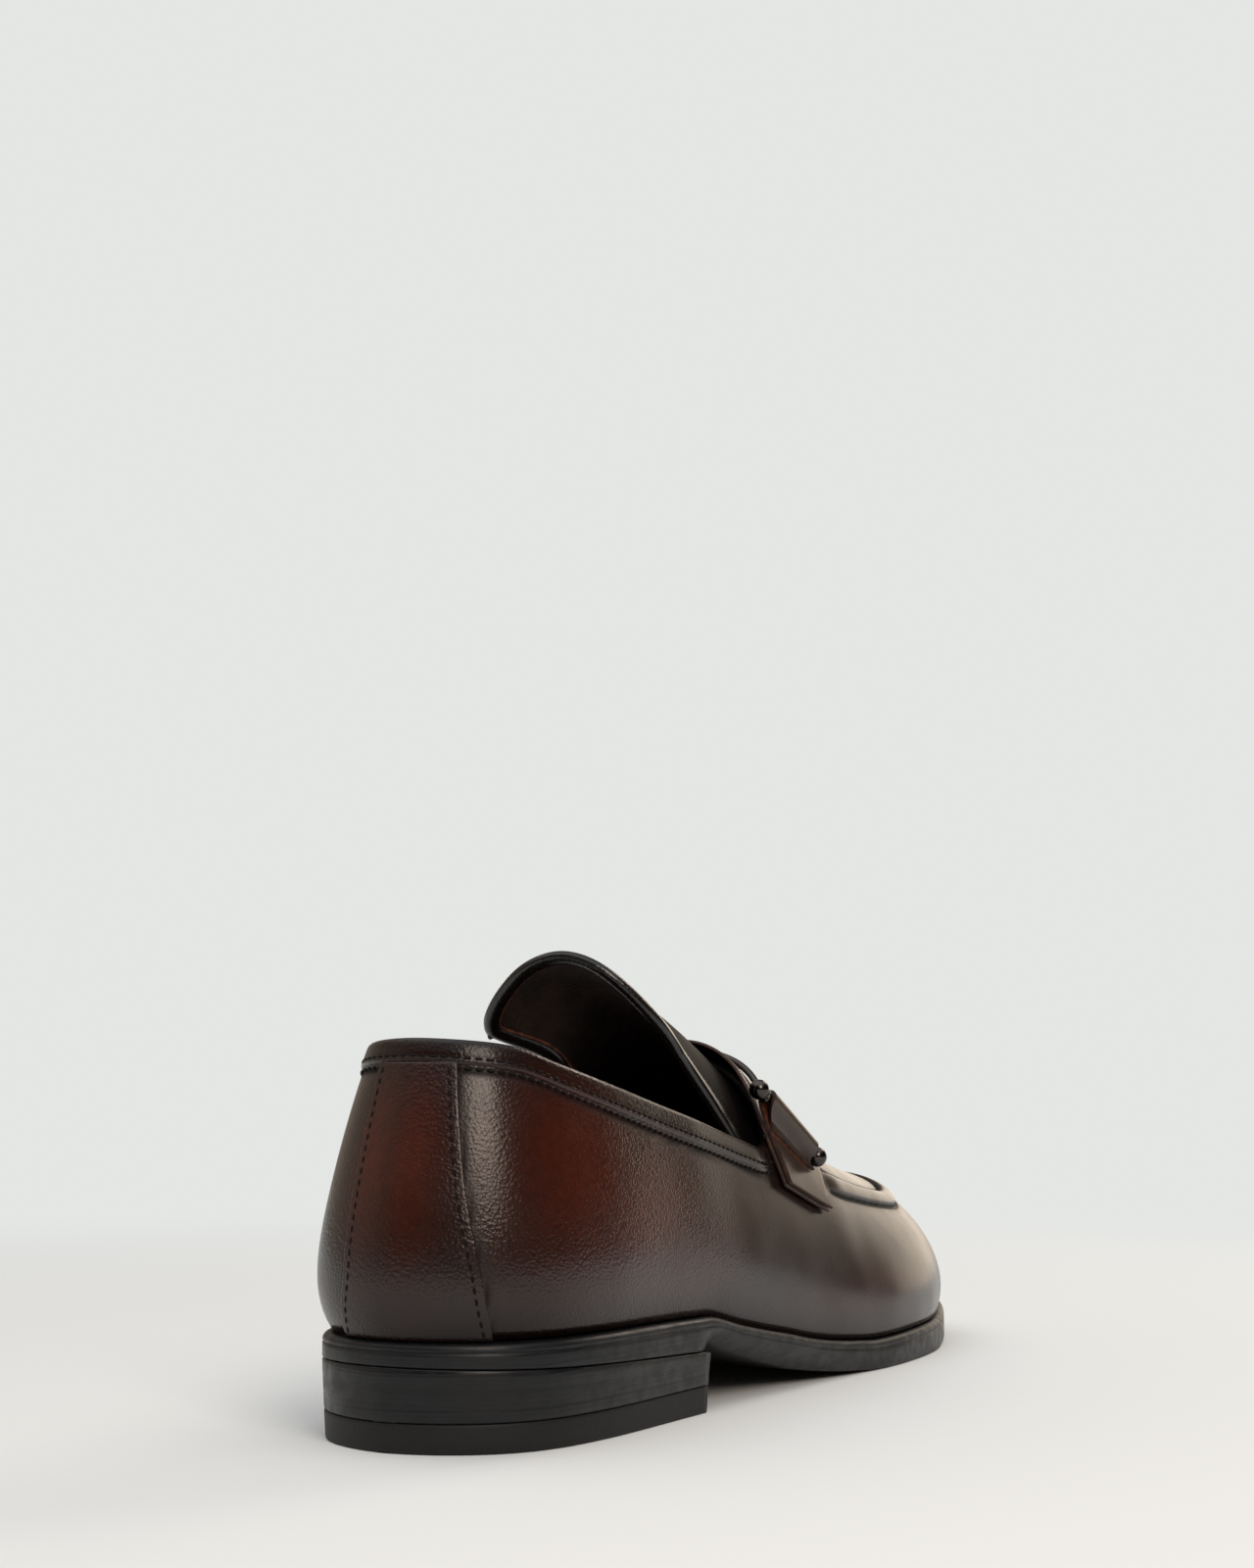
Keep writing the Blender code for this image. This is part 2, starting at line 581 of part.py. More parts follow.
def make_cheek(name, side):
    """A turned bar with a ball at each end."""
    half = CHEEK_LENGTH / 2
    neck = BAR_RADIUS * 1.25
    turns = np.linspace(0, math.pi - math.asin(neck / BALL_RADIUS), 7)
    ball = [(BALL_RADIUS * math.sin(a), half + BALL_RADIUS * math.cos(a)) for a in turns]
    collar = [(neck, half - BALL_RADIUS * 1.25), (BAR_RADIUS, half - BALL_RADIUS * 1.45)]
    upper_half = ball + collar
    outline = upper_half + [(r, -z) for r, z in reversed(upper_half)]
    mesh = bpy.data.meshes.new(name)
    bm = bmesh.new()
    verts = [bm.verts.new((max(r, 0.0), 0, z)) for r, z in outline]
    for a, b in zip(verts, verts[1:]):
        bm.edges.new((a, b))
    bm.to_mesh(mesh)
    bm.free()
    mesh.materials.append(metal)
    thing = bpy.data.objects.new(name, mesh)
    shoe.objects.link(thing)
    turn = thing.modifiers.new("turn", "SCREW")
    turn.steps = turn.render_steps = 12
    turn.use_merge_vertices = True
    turn.merge_threshold = 0.00001
    turn.use_smooth_shade = True
    rear, front = cheek_ends(side)
    place_along(thing, rear, front)
    return thing


def place_along(thing, start, end):
    """Puts an object's Z axis on the line from start to end, its origin half way."""
    direction = Vector(end - start)
    thing.rotation_mode = "QUATERNION"
    thing.rotation_quaternion = direction.to_track_quat("Z", "Y")
    thing.location = Vector(centred((start + end) / 2))


def make_bit_bar():
    """The bit's bar: over the strap from one cheek bar to the other."""
    lift = STRAP_TOP + GAP + BRIDGE_RADIUS
    station = CHEEK_REAR[0] + (CHEEK_FRONT[0] - CHEEK_REAR[0]) * BIT_PLACE
    low = CHEEK_REAR[1] + (CHEEK_FRONT[1] - CHEEK_REAR[1]) * BIT_PLACE
    path = []
    for side in (-1.0, 1.0):
        rear, front = cheek_ends(side)
        centre = rear + (front - rear) * BIT_PLACE
        rises = np.linspace(low + 0.13, 0.97, 8)
        t = (rises - low) / (1 - low)
        stations = station + (BIT_CREST - station) * np.sin(t * math.pi / 2)
        half = [skin(angle_of(s), side, r, lift) for s, r in zip(stations, rises)]
        inward = half[0] - centre
        start = centre + inward / np.linalg.norm(inward) * (EYE_RADIUS + PLY / 2 + GAP)
        path.append([start] + half)
    points = [centred(p) for p in path[0] + path[1][::-1]]
    curve = bpy.data.curves.new("bit_bar", "CURVE")
    curve.dimensions = "3D"
    curve.bevel_depth = BRIDGE_RADIUS
    curve.bevel_resolution = 2
    curve.use_fill_caps = True
    spline = curve.splines.new("POLY")
    spline.points.add(len(points) - 1)
    for point, place in zip(spline.points, points):
        point.co = (*place, 1)
    curve.materials.append(metal)
    thing = bpy.data.objects.new("bit_bar", curve)
    shoe.objects.link(thing)
    return thing


for old in list(bpy.data.objects):
    bpy.data.objects.remove(old, do_unlink=True)
shoe = bpy.data.collections.new("bit_loafer")
bpy.context.scene.collection.children.link(shoe)

leather = flat_material("brown_calf", (0.085, 0.042, 0.030), 0.38)
lining = flat_material("lining_leather", (0.060, 0.035, 0.025), 0.60)
sole_leather = flat_material("black_edge_leather", (0.012, 0.012, 0.014), 0.30)
rubber = flat_material("black_rubber", (0.015, 0.015, 0.016), 0.60)
metal = flat_material("gunmetal", (0.12, 0.12, 0.13), 0.25, 1.0)

make_upper()
make_outsole()
make_insole()
make_heel()
make_tongue()
make_strap()
make_loop("bit_loop_right", -1.0)
make_loop("bit_loop_left", 1.0)
make_cheek("bit_cheek_right", -1.0)
make_cheek("bit_cheek_left", 1.0)
make_bit_bar()
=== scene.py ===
"""The looks of a man's right slip-on bit loafer: burnished brown calf, black leather sole, gunmetal bit.

Toe along +X, the inner side of the foot along +Y, up along +Z. Lengths are in metres.
Stations count from the back of the heel, as shares of LENGTH, on the same last as the CAD part.
"""
import math
from functools import partial

import bmesh
import bpy
import numpy as np
from mathutils import Matrix, Vector


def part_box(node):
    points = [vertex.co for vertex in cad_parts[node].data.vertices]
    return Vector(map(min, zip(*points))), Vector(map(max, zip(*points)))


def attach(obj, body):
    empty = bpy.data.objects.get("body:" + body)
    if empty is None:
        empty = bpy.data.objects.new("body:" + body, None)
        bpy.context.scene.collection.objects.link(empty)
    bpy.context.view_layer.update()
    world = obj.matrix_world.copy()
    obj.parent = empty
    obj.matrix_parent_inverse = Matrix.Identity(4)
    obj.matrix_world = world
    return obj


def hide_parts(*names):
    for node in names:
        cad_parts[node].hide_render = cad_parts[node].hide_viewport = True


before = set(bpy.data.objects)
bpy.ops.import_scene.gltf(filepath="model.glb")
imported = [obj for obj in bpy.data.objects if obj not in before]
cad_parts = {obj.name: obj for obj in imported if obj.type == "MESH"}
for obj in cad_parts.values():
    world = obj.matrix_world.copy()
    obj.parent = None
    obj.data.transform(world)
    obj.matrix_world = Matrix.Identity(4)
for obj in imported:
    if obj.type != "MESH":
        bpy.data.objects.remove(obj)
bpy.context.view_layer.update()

# Sizes of the last and the upper
LENGTH = 0.300
BALL_WIDTH = 0.103
INSTEP_HEIGHT = 0.0895
BACK_HEIGHT = 0.0898
WALL = 0.0020
FEATHER_INSET = 0.0020
UPPER_GAP = 0.0006
BULGE = 0.0042
BULGE_HEIGHT = 0.016
BAND_WIDTH = 0.0065
BAND_PROUD = 0.0009
STRIP_PROUD = 0.0009
HEEL_ROUND = 0.45      # radius of the heel's plan as a share of LENGTH / 2
HEEL_LEAN = 0.28       # how much of that radius is gone at the topline
RIDGE_WIDTH = 0.0064
RIDGE_PROUD = 0.0015
GROOVE_DEPTH = 0.0008
GROOVE_WIDTH = 0.0005

# Sizes of the bottom
HEEL_LENGTH = 0.089
HEEL_TAPER = 0.0010
TOP_LIFT = 0.0065
STACK_BACK = 0.0115
STACK_BREAST = 0.0076
SEAT_STEP = 0.0024
SEAT_RUN = 0.0070
SOLE_THICKNESS = 0.0086
WAIST_BEVEL = 0.0055
TOE_SPRING = 0.0075
INSOLE_THICKNESS = 0.0030
GAP = 0.0003

# Sizes of the tongue, the strap and the bit
TONGUE_THICKNESS = 0.0022
TONGUE_GAP = 0.0009
TONGUE_TUCK = 0.012
TONGUE_TWIST = 0.0065
TONGUE_WIDTH = 0.054
TONGUE_DROP = 0.0180
TONGUE_ROUND = 1.9
TONGUE_LOW = 0.28
TONGUE_HIGH = 0.55
STRAP_THICKNESS = 0.0011
STRAP_LIFT = 0.0005
PLY = 0.0011
PLY_GAP = 0.0002
BAR_RADIUS = 0.0012
BRIDGE_RADIUS = 0.0010
BALL_RADIUS = 0.0027
EYE_CLEARANCE = 0.0006
BAR_SLACK = 0.0012
LOOP_FOOT = 0.004      # rise from the strap's end to the loop's
BIT_PLACE = 0.30       # where the bit's bar meets the cheek, from its rear end
CHEEK_LENGTH = 0.032
CHEEK_REAR = (0.446, 0.485)
CHEEK_FRONT = (0.523, 0.410)
BIT_CREST = 0.541
LOOP_REAR = 0.13
LOOP_FRONT = 0.87

# Sizes of the sewing
STITCH_PITCH = 0.0026
STITCH_GAP = 0.0007
THREAD = 0.0008

# Outline of the sole: share of LENGTH, share of BALL_WIDTH, from the heel's back round the right side
OUTLINE = (
    (0.000, 0.000), (0.018, -0.170), (0.063, -0.287), (0.140, -0.338), (0.267, -0.352),
    (0.383, -0.362), (0.500, -0.379), (0.600, -0.400), (0.683, -0.408), (0.767, -0.388),
    (0.840, -0.335), (0.907, -0.256), (0.960, -0.148), (0.992, -0.022), (1.000, 0.087),
    (0.992, 0.206), (0.960, 0.335), (0.900, 0.452), (0.827, 0.540), (0.740, 0.585),
    (0.660, 0.568), (0.567, 0.476), (0.467, 0.379), (0.373, 0.322), (0.267, 0.307),
    (0.140, 0.322), (0.063, 0.278), (0.018, 0.168),
)

# Station, crown of the last as a share of INSTEP_HEIGHT
CROWN = (
    (0.000, 1.275), (0.110, 1.300), (0.200, 1.325), (0.293, 1.300), (0.333, 1.262), (0.383, 1.204),
    (0.433, 1.142), (0.483, 1.064), (0.533, 0.972), (0.580, 0.888), (0.630, 0.790), (0.690, 0.700),
    (0.760, 0.637), (0.833, 0.592), (0.880, 0.573), (0.920, 0.552), (0.960, 0.520), (1.000, 0.475),
)

# Station, topline as a share of BACK_HEIGHT; where it passes the crown the vamp is closed
TOPLINE = (
    (0.000, 1.000), (0.050, 0.985), (0.110, 0.940), (0.210, 0.865), (0.277, 0.815), (0.340, 0.770),
    (0.400, 0.725), (0.443, 0.700), (0.467, 0.715), (0.493, 0.795), (0.517, 0.920), (0.540, 1.060),
)

# Station, sideways place of the last's crest as a share of BALL_WIDTH, bulge as a share of BULGE
CREST = (
    (0.00, 0.000, 1.00), (0.12, 0.005, 0.75), (0.35, 0.068, 0.35), (0.55, 0.088, 0.32),
    (0.75, 0.088, 0.45), (1.00, 0.087, 0.65),
)

# Station, underside of the waist and forepart as a share of its height at the heel's breast
ARCH = (
    (0.367, 0.700), (0.433, 0.420), (0.500, 0.190), (0.567, 0.060), (0.630, 0.000), (1.000, 0.000),
)

# Station, toe spring as a share of TOE_SPRING
SPRING = ((0.000, 0.000), (0.775, 0.000), (0.850, 0.120), (0.920, 0.420), (1.000, 1.000))

# Station, thickness as a share of SOLE_THICKNESS, bevel under the edge as a share of WAIST_BEVEL
EDGE = (
    (0.000, 0.64, 0.0), (0.280, 0.67, 0.0), (0.315, 0.70, 0.9), (0.380, 0.84, 1.0), (0.470, 1.00, 0.9),
    (0.570, 0.97, 0.3), (0.640, 0.94, 0.0), (0.800, 1.00, 0.0), (1.000, 0.93, 0.0),
)

# Share of the way up to the topline, the heel strip's right and left edge from the middle of the back
STRIP_EDGE = (
    (0.00, 0.0245, 0.0138), (0.08, 0.0224, 0.0115), (0.20, 0.0203, 0.0094), (0.45, 0.0162, 0.0092),
    (0.72, 0.0134, 0.0090), (1.00, 0.0112, 0.0088),
)

# Station, rise of the apron seam between the feather (0) and the crest (1)
APRON = ((0.433, 0.330), (0.573, 0.385), (0.690, 0.460), (0.833, 0.520), (0.917, 0.620), (1.000, 0.740))

# Place across the tongue (0 at its middle, 1 at its edge), station of its free edge
TONGUE_EDGE = ((0.00, 0.293), (0.25, 0.295), (0.50, 0.306), (0.75, 0.322), (1.00, 0.345))

# Rise, rear edge and front edge of the strap as stations
STRAP = (
    (0.30, 0.467, 0.551), (0.40, 0.460, 0.565), (0.55, 0.471, 0.587), (0.75, 0.497, 0.610),
    (1.00, 0.517, 0.623),
)


# The last

def smooth(rows, x, column=1):
    """Reads a table's column at x on a smooth curve that never overshoots its rows."""
    table = np.array([(row[0], row[column]) for row in rows], float)
    xs, ys = table[:, 0], table[:, 1]
    x = np.clip(np.asarray(x, float), xs[0], xs[-1])
    run = np.diff(xs)
    grade = np.diff(ys) / run
    slope = np.zeros(len(xs))
    slope[0], slope[-1] = grade[0], grade[-1]
    for i in range(1, len(xs) - 1):
        if grade[i - 1] * grade[i] > 0:
            before, after = 2 * run[i] + run[i - 1], run[i] + 2 * run[i - 1]
            slope[i] = (before + after) / (before / grade[i - 1] + after / grade[i])
    k = np.clip(np.searchsorted(xs, x, side="right") - 1, 0, len(run) - 1)
    t = (x - xs[k]) / run[k]
    start = (1 + 2 * t) * (1 - t) ** 2 * ys[k] + t * (1 - t) ** 2 * run[k] * slope[k]
    end = t * t * (3 - 2 * t) * ys[k + 1] + t * t * (t - 1) * run[k] * slope[k + 1]
    return start + end


def ramp(x, start, end):
    """0 before start, 1 after end and smooth between."""
    t = np.clip((np.asarray(x, float) - start) / (end - start), 0, 1)
    return t * t * (3 - 2 * t)


def unit(vectors):
    """The same directions at length 1."""
    return vectors / np.linalg.norm(vectors, axis=-1, keepdims=True)


def relax(path, times):
    """Smooths a path of points or directions and holds its ends."""
    for _ in range(times):
        path[1:-1] = (path[:-2] + 2 * path[1:-1] + path[2:]) / 4


def closed_curve(points):
    """A smooth closed curve through the outline's points."""
    p = np.array(points, float)
    t = np.linspace(0, 1, 40, endpoint=False)[:, None]
    spans = []
    for i in range(len(p)):
        a, b, c, d = p[i - 1], p[i], p[(i + 1) % len(p)], p[(i + 2) % len(p)]
        spans.append(0.5 * (2 * b + (c - a) * t + (2 * a - 5 * b + 4 * c - d) * t ** 2
                            + (3 * b - a - 3 * c + d) * t ** 3))
    return np.concatenate(spans)


TOE_POINT = max(range(len(OUTLINE)), key=lambda i: OUTLINE[i][0])
CURVE = closed_curve(OUTLINE) * (LENGTH, BALL_WIDTH)
TOE_INDEX = TOE_POINT * (len(CURVE) // len(OUTLINE))
RIGHT_CURVE = CURVE[:TOE_INDEX + 1]
LEFT_CURVE = np.concatenate([CURVE[TOE_INDEX:], CURVE[:1]])[::-1]
HEEL_BACK_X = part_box("outsole")[0][0]
MIDDLE_Y = (CURVE[:, 1].min() + CURVE[:, 1].max()) / 2

HEEL_BACK = TOP_LIFT + STACK_BACK + 2 * GAP
HEEL_BREAST = TOP_LIFT + STACK_BREAST + 2 * GAP
WAIST_RISE = HEEL_BREAST + SEAT_STEP


def station_of(angle):
    """Distance from the heel's back: the angle runs from 0 there to pi at the toe."""
    return LENGTH * (1 - np.cos(angle)) / 2


def angle_of(station):
    return np.arccos(1 - 2 * np.clip(np.asarray(station, float), 0, 1))


def sole_edge(angle, side, inset=0.0):
    """Plan point of the sole's outline; side is -1 on the right and 1 on the left."""
    def at(a):
        x = station_of(a)
        right = np.interp(x, RIGHT_CURVE[:, 0], RIGHT_CURVE[:, 1])
        left = np.interp(x, LEFT_CURVE[:, 0], LEFT_CURVE[:, 1])
        return x, np.where(side < 0, right, left)
    angle, side = np.broadcast_arrays(np.asarray(angle, float), np.asarray(side, float))
    step = 0.02
    x, y = at(angle)
    x0, y0 = at(np.maximum(angle - step, 0))
    x1, y1 = at(np.minimum(angle + step, math.pi))
    along_x, along_y = x1 - x0, y1 - y0
    at_tip = (angle < step) | (angle > math.pi - step)
    blend = np.minimum(angle, math.pi - angle) / step
    along_x = np.where(at_tip, along_x * blend, along_x)
    size = np.hypot(along_x, along_y)
    out_x, out_y = -along_y / size * side, along_x / size * side
    return np.stack([x - out_x * inset, y - out_y * inset], -1), np.stack([out_x, out_y], -1)


def underside(x):
    """Height of the sole's underside, without the heel seat."""
    rows = [(0.0, HEEL_BACK), (HEEL_LENGTH, WAIST_RISE)]
    rows += [(station * LENGTH, share * WAIST_RISE) for station, share in ARCH]
    return smooth(rows, x) + TOE_SPRING * smooth(SPRING, x / LENGTH)


def seat(x):
    """Height of the flat heel seat that the stack carries."""
    return HEEL_BACK + (HEEL_BREAST - HEEL_BACK) * x / HEEL_LENGTH


def tread(x):
    """Height of the sole's whole underside: seat, short step at the breast, waist and forepart."""
    away = ramp(x, HEEL_LENGTH + GAP, HEEL_LENGTH + SEAT_RUN)
    return seat(np.minimum(x, HEEL_LENGTH + SEAT_RUN)) * (1 - away) + underside(x) * away


def feather(x):
    """Height of the sole's top, where the upper meets it."""
    return underside(x) + SOLE_THICKNESS * smooth(EDGE, x / LENGTH)


def crest_station(x):
    """The crest's point that a section starts from: fans close it at the heel and the toe."""
    heel_fan, toe_fan = 0.23 * LENGTH, 0.73 * LENGTH
    back = np.maximum(heel_fan - x, 0) ** 2 / (2 * heel_fan)
    front = np.maximum(x - toe_fan, 0) ** 2 / (2 * (LENGTH - toe_fan))
    return x + back - front


def last_surface(angle, side, rise):
    """The last's outside: rise 0 is the feather edge and rise 1 the crest."""
    angle, side, rise = np.broadcast_arrays(*(np.asarray(v, float) for v in (angle, side, rise)))
    x = station_of(angle)
    foot, outward = sole_edge(angle, side, FEATHER_INSET)
    crest_x = crest_station(x)
    crest_y = BALL_WIDTH * smooth(CREST, crest_x / LENGTH)
    turn = rise * math.pi / 2
    inward, height = np.cos(turn), np.sin(turn)
    px = crest_x + (foot[..., 0] - crest_x) * inward
    py = crest_y + (foot[..., 1] - crest_y) * inward
    base = feather(foot[..., 0]) + UPPER_GAP
    crown = INSTEP_HEIGHT * smooth(CROWN, px / LENGTH)
    pz = base + (crown - base) * height
    up = (pz - base) / BULGE_HEIGHT
    swell = BULGE * smooth(CREST, x / LENGTH, 2) * up * np.exp(1 - up) * inward
    return np.stack([px + outward[..., 0] * swell, py + outward[..., 1] * swell, pz], -1)


def skin(angle, side, rise, lift=0.0):
    """A point at the given lift outside the last's surface."""
    point = last_surface(angle, side, rise)
    a = np.clip(angle, 0.03, math.pi - 0.03)
    r = np.clip(rise, 0.01, 0.985)
    step = 0.01
    along = last_surface(a + step, side, r) - last_surface(a - step, side, r)
    across = last_surface(a, side, r + step) - last_surface(a, side, r - step)
    normal = unit(np.cross(along, across) * -np.asarray(side)[..., None])
    return point + normal * np.asarray(lift)[..., None]


def arc_length(angle, side):
    """Length of a section from the feather to the crest."""
    rises = np.linspace(0, 1, 9)
    points = [last_surface(angle, side, r) for r in rises]
    return sum(np.linalg.norm(b - a, axis=-1) for a, b in zip(points, points[1:]))


def topline_rise(angle):
    """Rise at which the collar or throat cuts a section; 1 where the vamp is closed."""
    x = station_of(angle)
    base = feather(x) + UPPER_GAP
    crown = INSTEP_HEIGHT * smooth(CROWN, x / LENGTH)
    share = (BACK_HEIGHT * smooth(TOPLINE, x / LENGTH) - base) / (crown - base)
    closed = x > TOPLINE[-1][0] * LENGTH
    return np.where(closed, 1.0, np.arcsin(np.clip(share, 0, 1)) / (math.pi / 2))


HEEL_TOP = float(topline_rise(0.0))        # rise of the topline at the heel's back


def both_sides(values):
    """Values along the right side and back on the left, with their sides; the last comes once."""
    sides = np.repeat([-1.0, 1.0], [len(values), len(values) - 1])
    return np.concatenate([values, values[-2::-1]]), sides


def round_heel(station, steps):
    """Angles and sides from a station on the right round the heel's back to the left."""
    return both_sides(np.linspace(0, float(angle_of(station)), steps)[::-1])


def in_frame(points):
    """From the last's own frame to the CAD's."""
    return np.asarray(points) + (HEEL_BACK_X, -MIDDLE_Y, 0)


# Making pieces

def lay(points):
    """A grid of faces laid on rows and columns of points and welded where they meet."""
    points = in_frame(points)
    rows, columns = points.shape[:2]
    bm = bmesh.new()
    bmesh.ops.create_grid(bm, x_segments=columns - 1, y_segments=rows - 1, size=1)
    for vertex in bm.verts:
        column = round((vertex.co.x + 1) / 2 * (columns - 1))
        row = round((vertex.co.y + 1) / 2 * (rows - 1))
        vertex.co = points[row, column]
    bmesh.ops.remove_doubles(bm, verts=bm.verts, dist=0.00002)
    bmesh.ops.dissolve_degenerate(bm, edges=bm.edges, dist=0.00001)
    return bm


def open_sheet(points):
    """A sheet whose faces look away from the inside of the shoe."""
    bm = lay(points)
    bmesh.ops.recalc_face_normals(bm, faces=bm.faces)
    total = 0.0
    for face in bm.faces:
        middle = face.calc_center_median()
        core = Vector((middle.x * 0.9, 0, 0.03))
        total += face.normal.dot(middle - core) * face.calc_area()
    if total < 0:
        bmesh.ops.reverse_faces(bm, faces=bm.faces)
    return bm


def closed_skin(rows):
    """A closed surface: a tube's open ends are capped and all faces look outwards."""
    bm = lay(np.array(rows))
    bmesh.ops.holes_fill(bm, edges=[edge for edge in bm.edges if edge.is_boundary])
    bmesh.ops.recalc_face_normals(bm, faces=bm.faces)
    return bm


def put(name, data):
    """A new object in the scene."""
    thing = bpy.data.objects.new(name, data)
    bpy.context.scene.collection.objects.link(thing)
    return thing


def put_mesh(name, bm, materials):
    mesh = bpy.data.meshes.new(name)
    bm.to_mesh(mesh)
    bm.free()
    for material in materials:
        mesh.materials.append(material)
    return put(name, mesh)


def piece(name, bm, materials, nodes=()):
    """A finished mesh as a piece of the shoe that may stand for CAD nodes."""
    thing = put_mesh(name, bm, materials)
    thing.data.shade_smooth()
    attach(thing, "root")
    if nodes:
        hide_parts(*nodes)
    return thing


def give_wall(thing, thickness, offset=-1.0, inside=0, rim=0):
    wall = thing.modifiers.new("wall", "SOLIDIFY")
    wall.thickness = thickness
    wall.offset = offset
    wall.use_even_offset = False
    wall.material_offset = inside
    wall.material_offset_rim = rim
    return wall


def soften(thing, width):
    edge = thing.modifiers.new("soft_edge", "BEVEL")
    edge.width = width
    edge.segments = 3
    edge.limit_method = "ANGLE"
    edge.angle_limit = math.radians(50)


def tube(path, radius, sides):
    """A round rod along a path of points."""
    along = unit(np.gradient(path, axis=0))
    up = unit(np.cross(along, np.array([0.3, 0.2, 1.0])))
    across = np.cross(along, up)
    turns = np.linspace(0, 2 * math.pi, sides + 1)
    return closed_skin([path + radius * (up * math.cos(t) + across * math.sin(t)) for t in turns])


def sew(bm, angle, side, rise, lift):
    """Adds a row of stitches along a path on the last's surface."""
    points = skin(angle, side, rise, lift)
    above = skin(angle, side, rise, lift + 0.001)
    outward = (above - points) / 0.001
    points = in_frame(points)
    run = np.concatenate([[0], np.cumsum(np.linalg.norm(np.diff(points, axis=0), axis=1))])

    def at(distance, values):
        return np.array([np.interp(distance, run, values[:, i]) for i in range(3)])

    for i in range(int(run[-1] // STITCH_PITCH)):
        start = at(i * STITCH_PITCH + STITCH_GAP / 2, points)
        end = at((i + 1) * STITCH_PITCH - STITCH_GAP / 2, points)
        along = (end - start) / 2
        up = at((i + 0.5) * STITCH_PITCH, outward)
        across = np.cross(up, unit(along))
        middle = (start + end) / 2
        place = Matrix.Identity(4)
        for column, vector in enumerate((along, across * THREAD / 2, up * THREAD / 2.4, middle)):
            for row in range(3):
                place[row][column] = vector[row]
        bmesh.ops.create_icosphere(bm, subdivisions=2, radius=1, matrix=place)


# Materials

# Settings of nodes that are used often
SOFT = {"interpolation_type": "SMOOTHSTEP"}
COLOUR = {"data_type": "RGBA"}
PLUS = {"operation": "ADD"}
TIMES = {"operation": "MULTIPLY"}


def linear(code):
    """A hex sRGB colour as the linear colour that a shader takes."""
    values = [int(code[i:i + 2], 16) / 255 for i in (1, 3, 5)]
    return tuple(v / 12.92 if v <= 0.04045 else ((v + 0.055) / 1.055) ** 2.4 for v in values) + (1.0,)


def fill(tree, node, inputs):
    """Gives a node's inputs their values, or links them to other nodes' outputs."""
    for name, value in inputs.items():
        if isinstance(value, bpy.types.NodeSocket):
            tree.links.new(value, node.inputs[name])
        else:
            node.inputs[name].default_value = value


def add_node(tree, kind, settings, inputs, output=0):
    """Adds a node with its settings and links, and gives back one of its outputs."""
    node = tree.nodes.new("ShaderNode" + kind)
    for name, value in settings.items():
        setattr(node, name, value)
    fill(tree, node, inputs)
    return node.outputs[output]


def begin(name):
    """A new material, the way to add its nodes and the object's own coordinates."""
    material = bpy.data.materials.new(name)
    material.use_nodes = True
    add = partial(add_node, material.node_tree)
    return material, add, add("TexCoord", {}, {}, "Object")


def finish(material, inputs):
    """Gives the material's shader its inputs."""
    fill(material.node_tree, material.node_tree.nodes["Principled BSDF"], inputs)
    return material


def patches(add, where, size, detail, low, high, least=0.0, most=1.0):
    """Soft patches about the given size in metres, from the least to the most value."""
    noise = add("TexNoise", {}, {"Vector": where, "Scale": 1 / size, "Detail": detail})
    return add("MapRange", SOFT, {0: noise, 1: low, 2: high, 3: least, 4: most})


GRAIN = 0.0008     # calf pores are near 0.3 mm; drawn coarser so that they show in the highlight
CLOUD = 0.030      # the burnishing pad's strokes
UNEVEN = 0.022     # soft unevenness of leather pulled over a last
POLISH_START = -0.09       # places along the shoe between which the grain is polished away
POLISH_END = -0.02


def box_calf(name, base, dark, warm, roughness=0.25, sheen=0.42):
    """Box calf, chrome tanned, aniline dyed and burnished by hand: fine pores that sparkle in a
    highlight, clouds of red under the dark wax, a forepart polished smoother, and painted shade:
    darker along the feather line together with the wax, under the collar, and near black and dull along the
    seams."""
    material, add, where = begin(name)
    warmth, burnish, crease = (add("Attribute", {"attribute_name": word}, {}, "Fac")
                               for word in ("warmth", "burnish", "crease"))
    clouds = add("Math", TIMES, {0: patches(add, where, CLOUD, 3.0, 0.35, 0.70), 1: 0.45})
    fine = patches(add, where, 0.0022, 2.0, 0.3, 0.7, 0.0, 0.22)
    tone = linear(base)
    # The dark mixed in at the feather line and under the collar is wax with painted shade; the near black
    # #040303 along the seams is painted shade
    for amount, colour in ((clouds, dark), (warmth, warm), (fine, dark), (burnish, dark),
                           (crease, "#040303")):
        tone = add("Mix", COLOUR, {0: amount, 6: tone, 7: linear(colour)}, 2)
    # The painted shade lines and the darker places also lose gloss and coat
    waxed = add("Math", TIMES, {0: burnish, 1: 0.8})
    dull = add("Math", {"operation": "MAXIMUM"}, {0: crease, 1: waxed})
    gloss = add("MapRange", SOFT, {0: dull, 3: sheen, 4: sheen * 0.12})
    wax = add("MapRange", SOFT, {0: crease, 3: sheen * 0.36, 4: 0.0})
    patchy = patches(add, where, 0.018, 2.0, 0.3, 0.7, roughness - 0.03, roughness + 0.05)
    rough = add("Math", PLUS, {0: patchy, 1: add("Math", TIMES, {0: crease, 1: 0.5})})
    swell = add("TexNoise", {}, {"Vector": where, "Scale": 1 / UNEVEN, "Detail": 1.0})
    soft = add("Bump", {}, {"Height": swell, "Distance": 0.0003, "Strength": 0.5})
    cells = add("TexVoronoi", {"feature": "SMOOTH_F1"},
                {"Vector": where, "Scale": 1 / GRAIN, "Smoothness": 0.35}, "Distance")
    noise = add("TexNoise", {}, {"Vector": where, "Scale": 1 / (GRAIN * 0.7)})
    pores = add("Math", PLUS, {0: cells, 1: noise})
    along = add("SeparateXYZ", {}, {0: where}, "X")
    depth = add("MapRange", SOFT, {0: along, 1: POLISH_START, 2: POLISH_END, 3: 0.8, 4: 0.12})
    normal = add("Bump", {}, {"Height": pores, "Distance": 0.00010, "Strength": depth, "Normal": soft})
    return finish(material, {"Base Color": tone, "Roughness": rough, "Specular IOR Level": gloss,
                             "Coat Weight": wax, "Coat Roughness": 0.20, "Normal": normal})


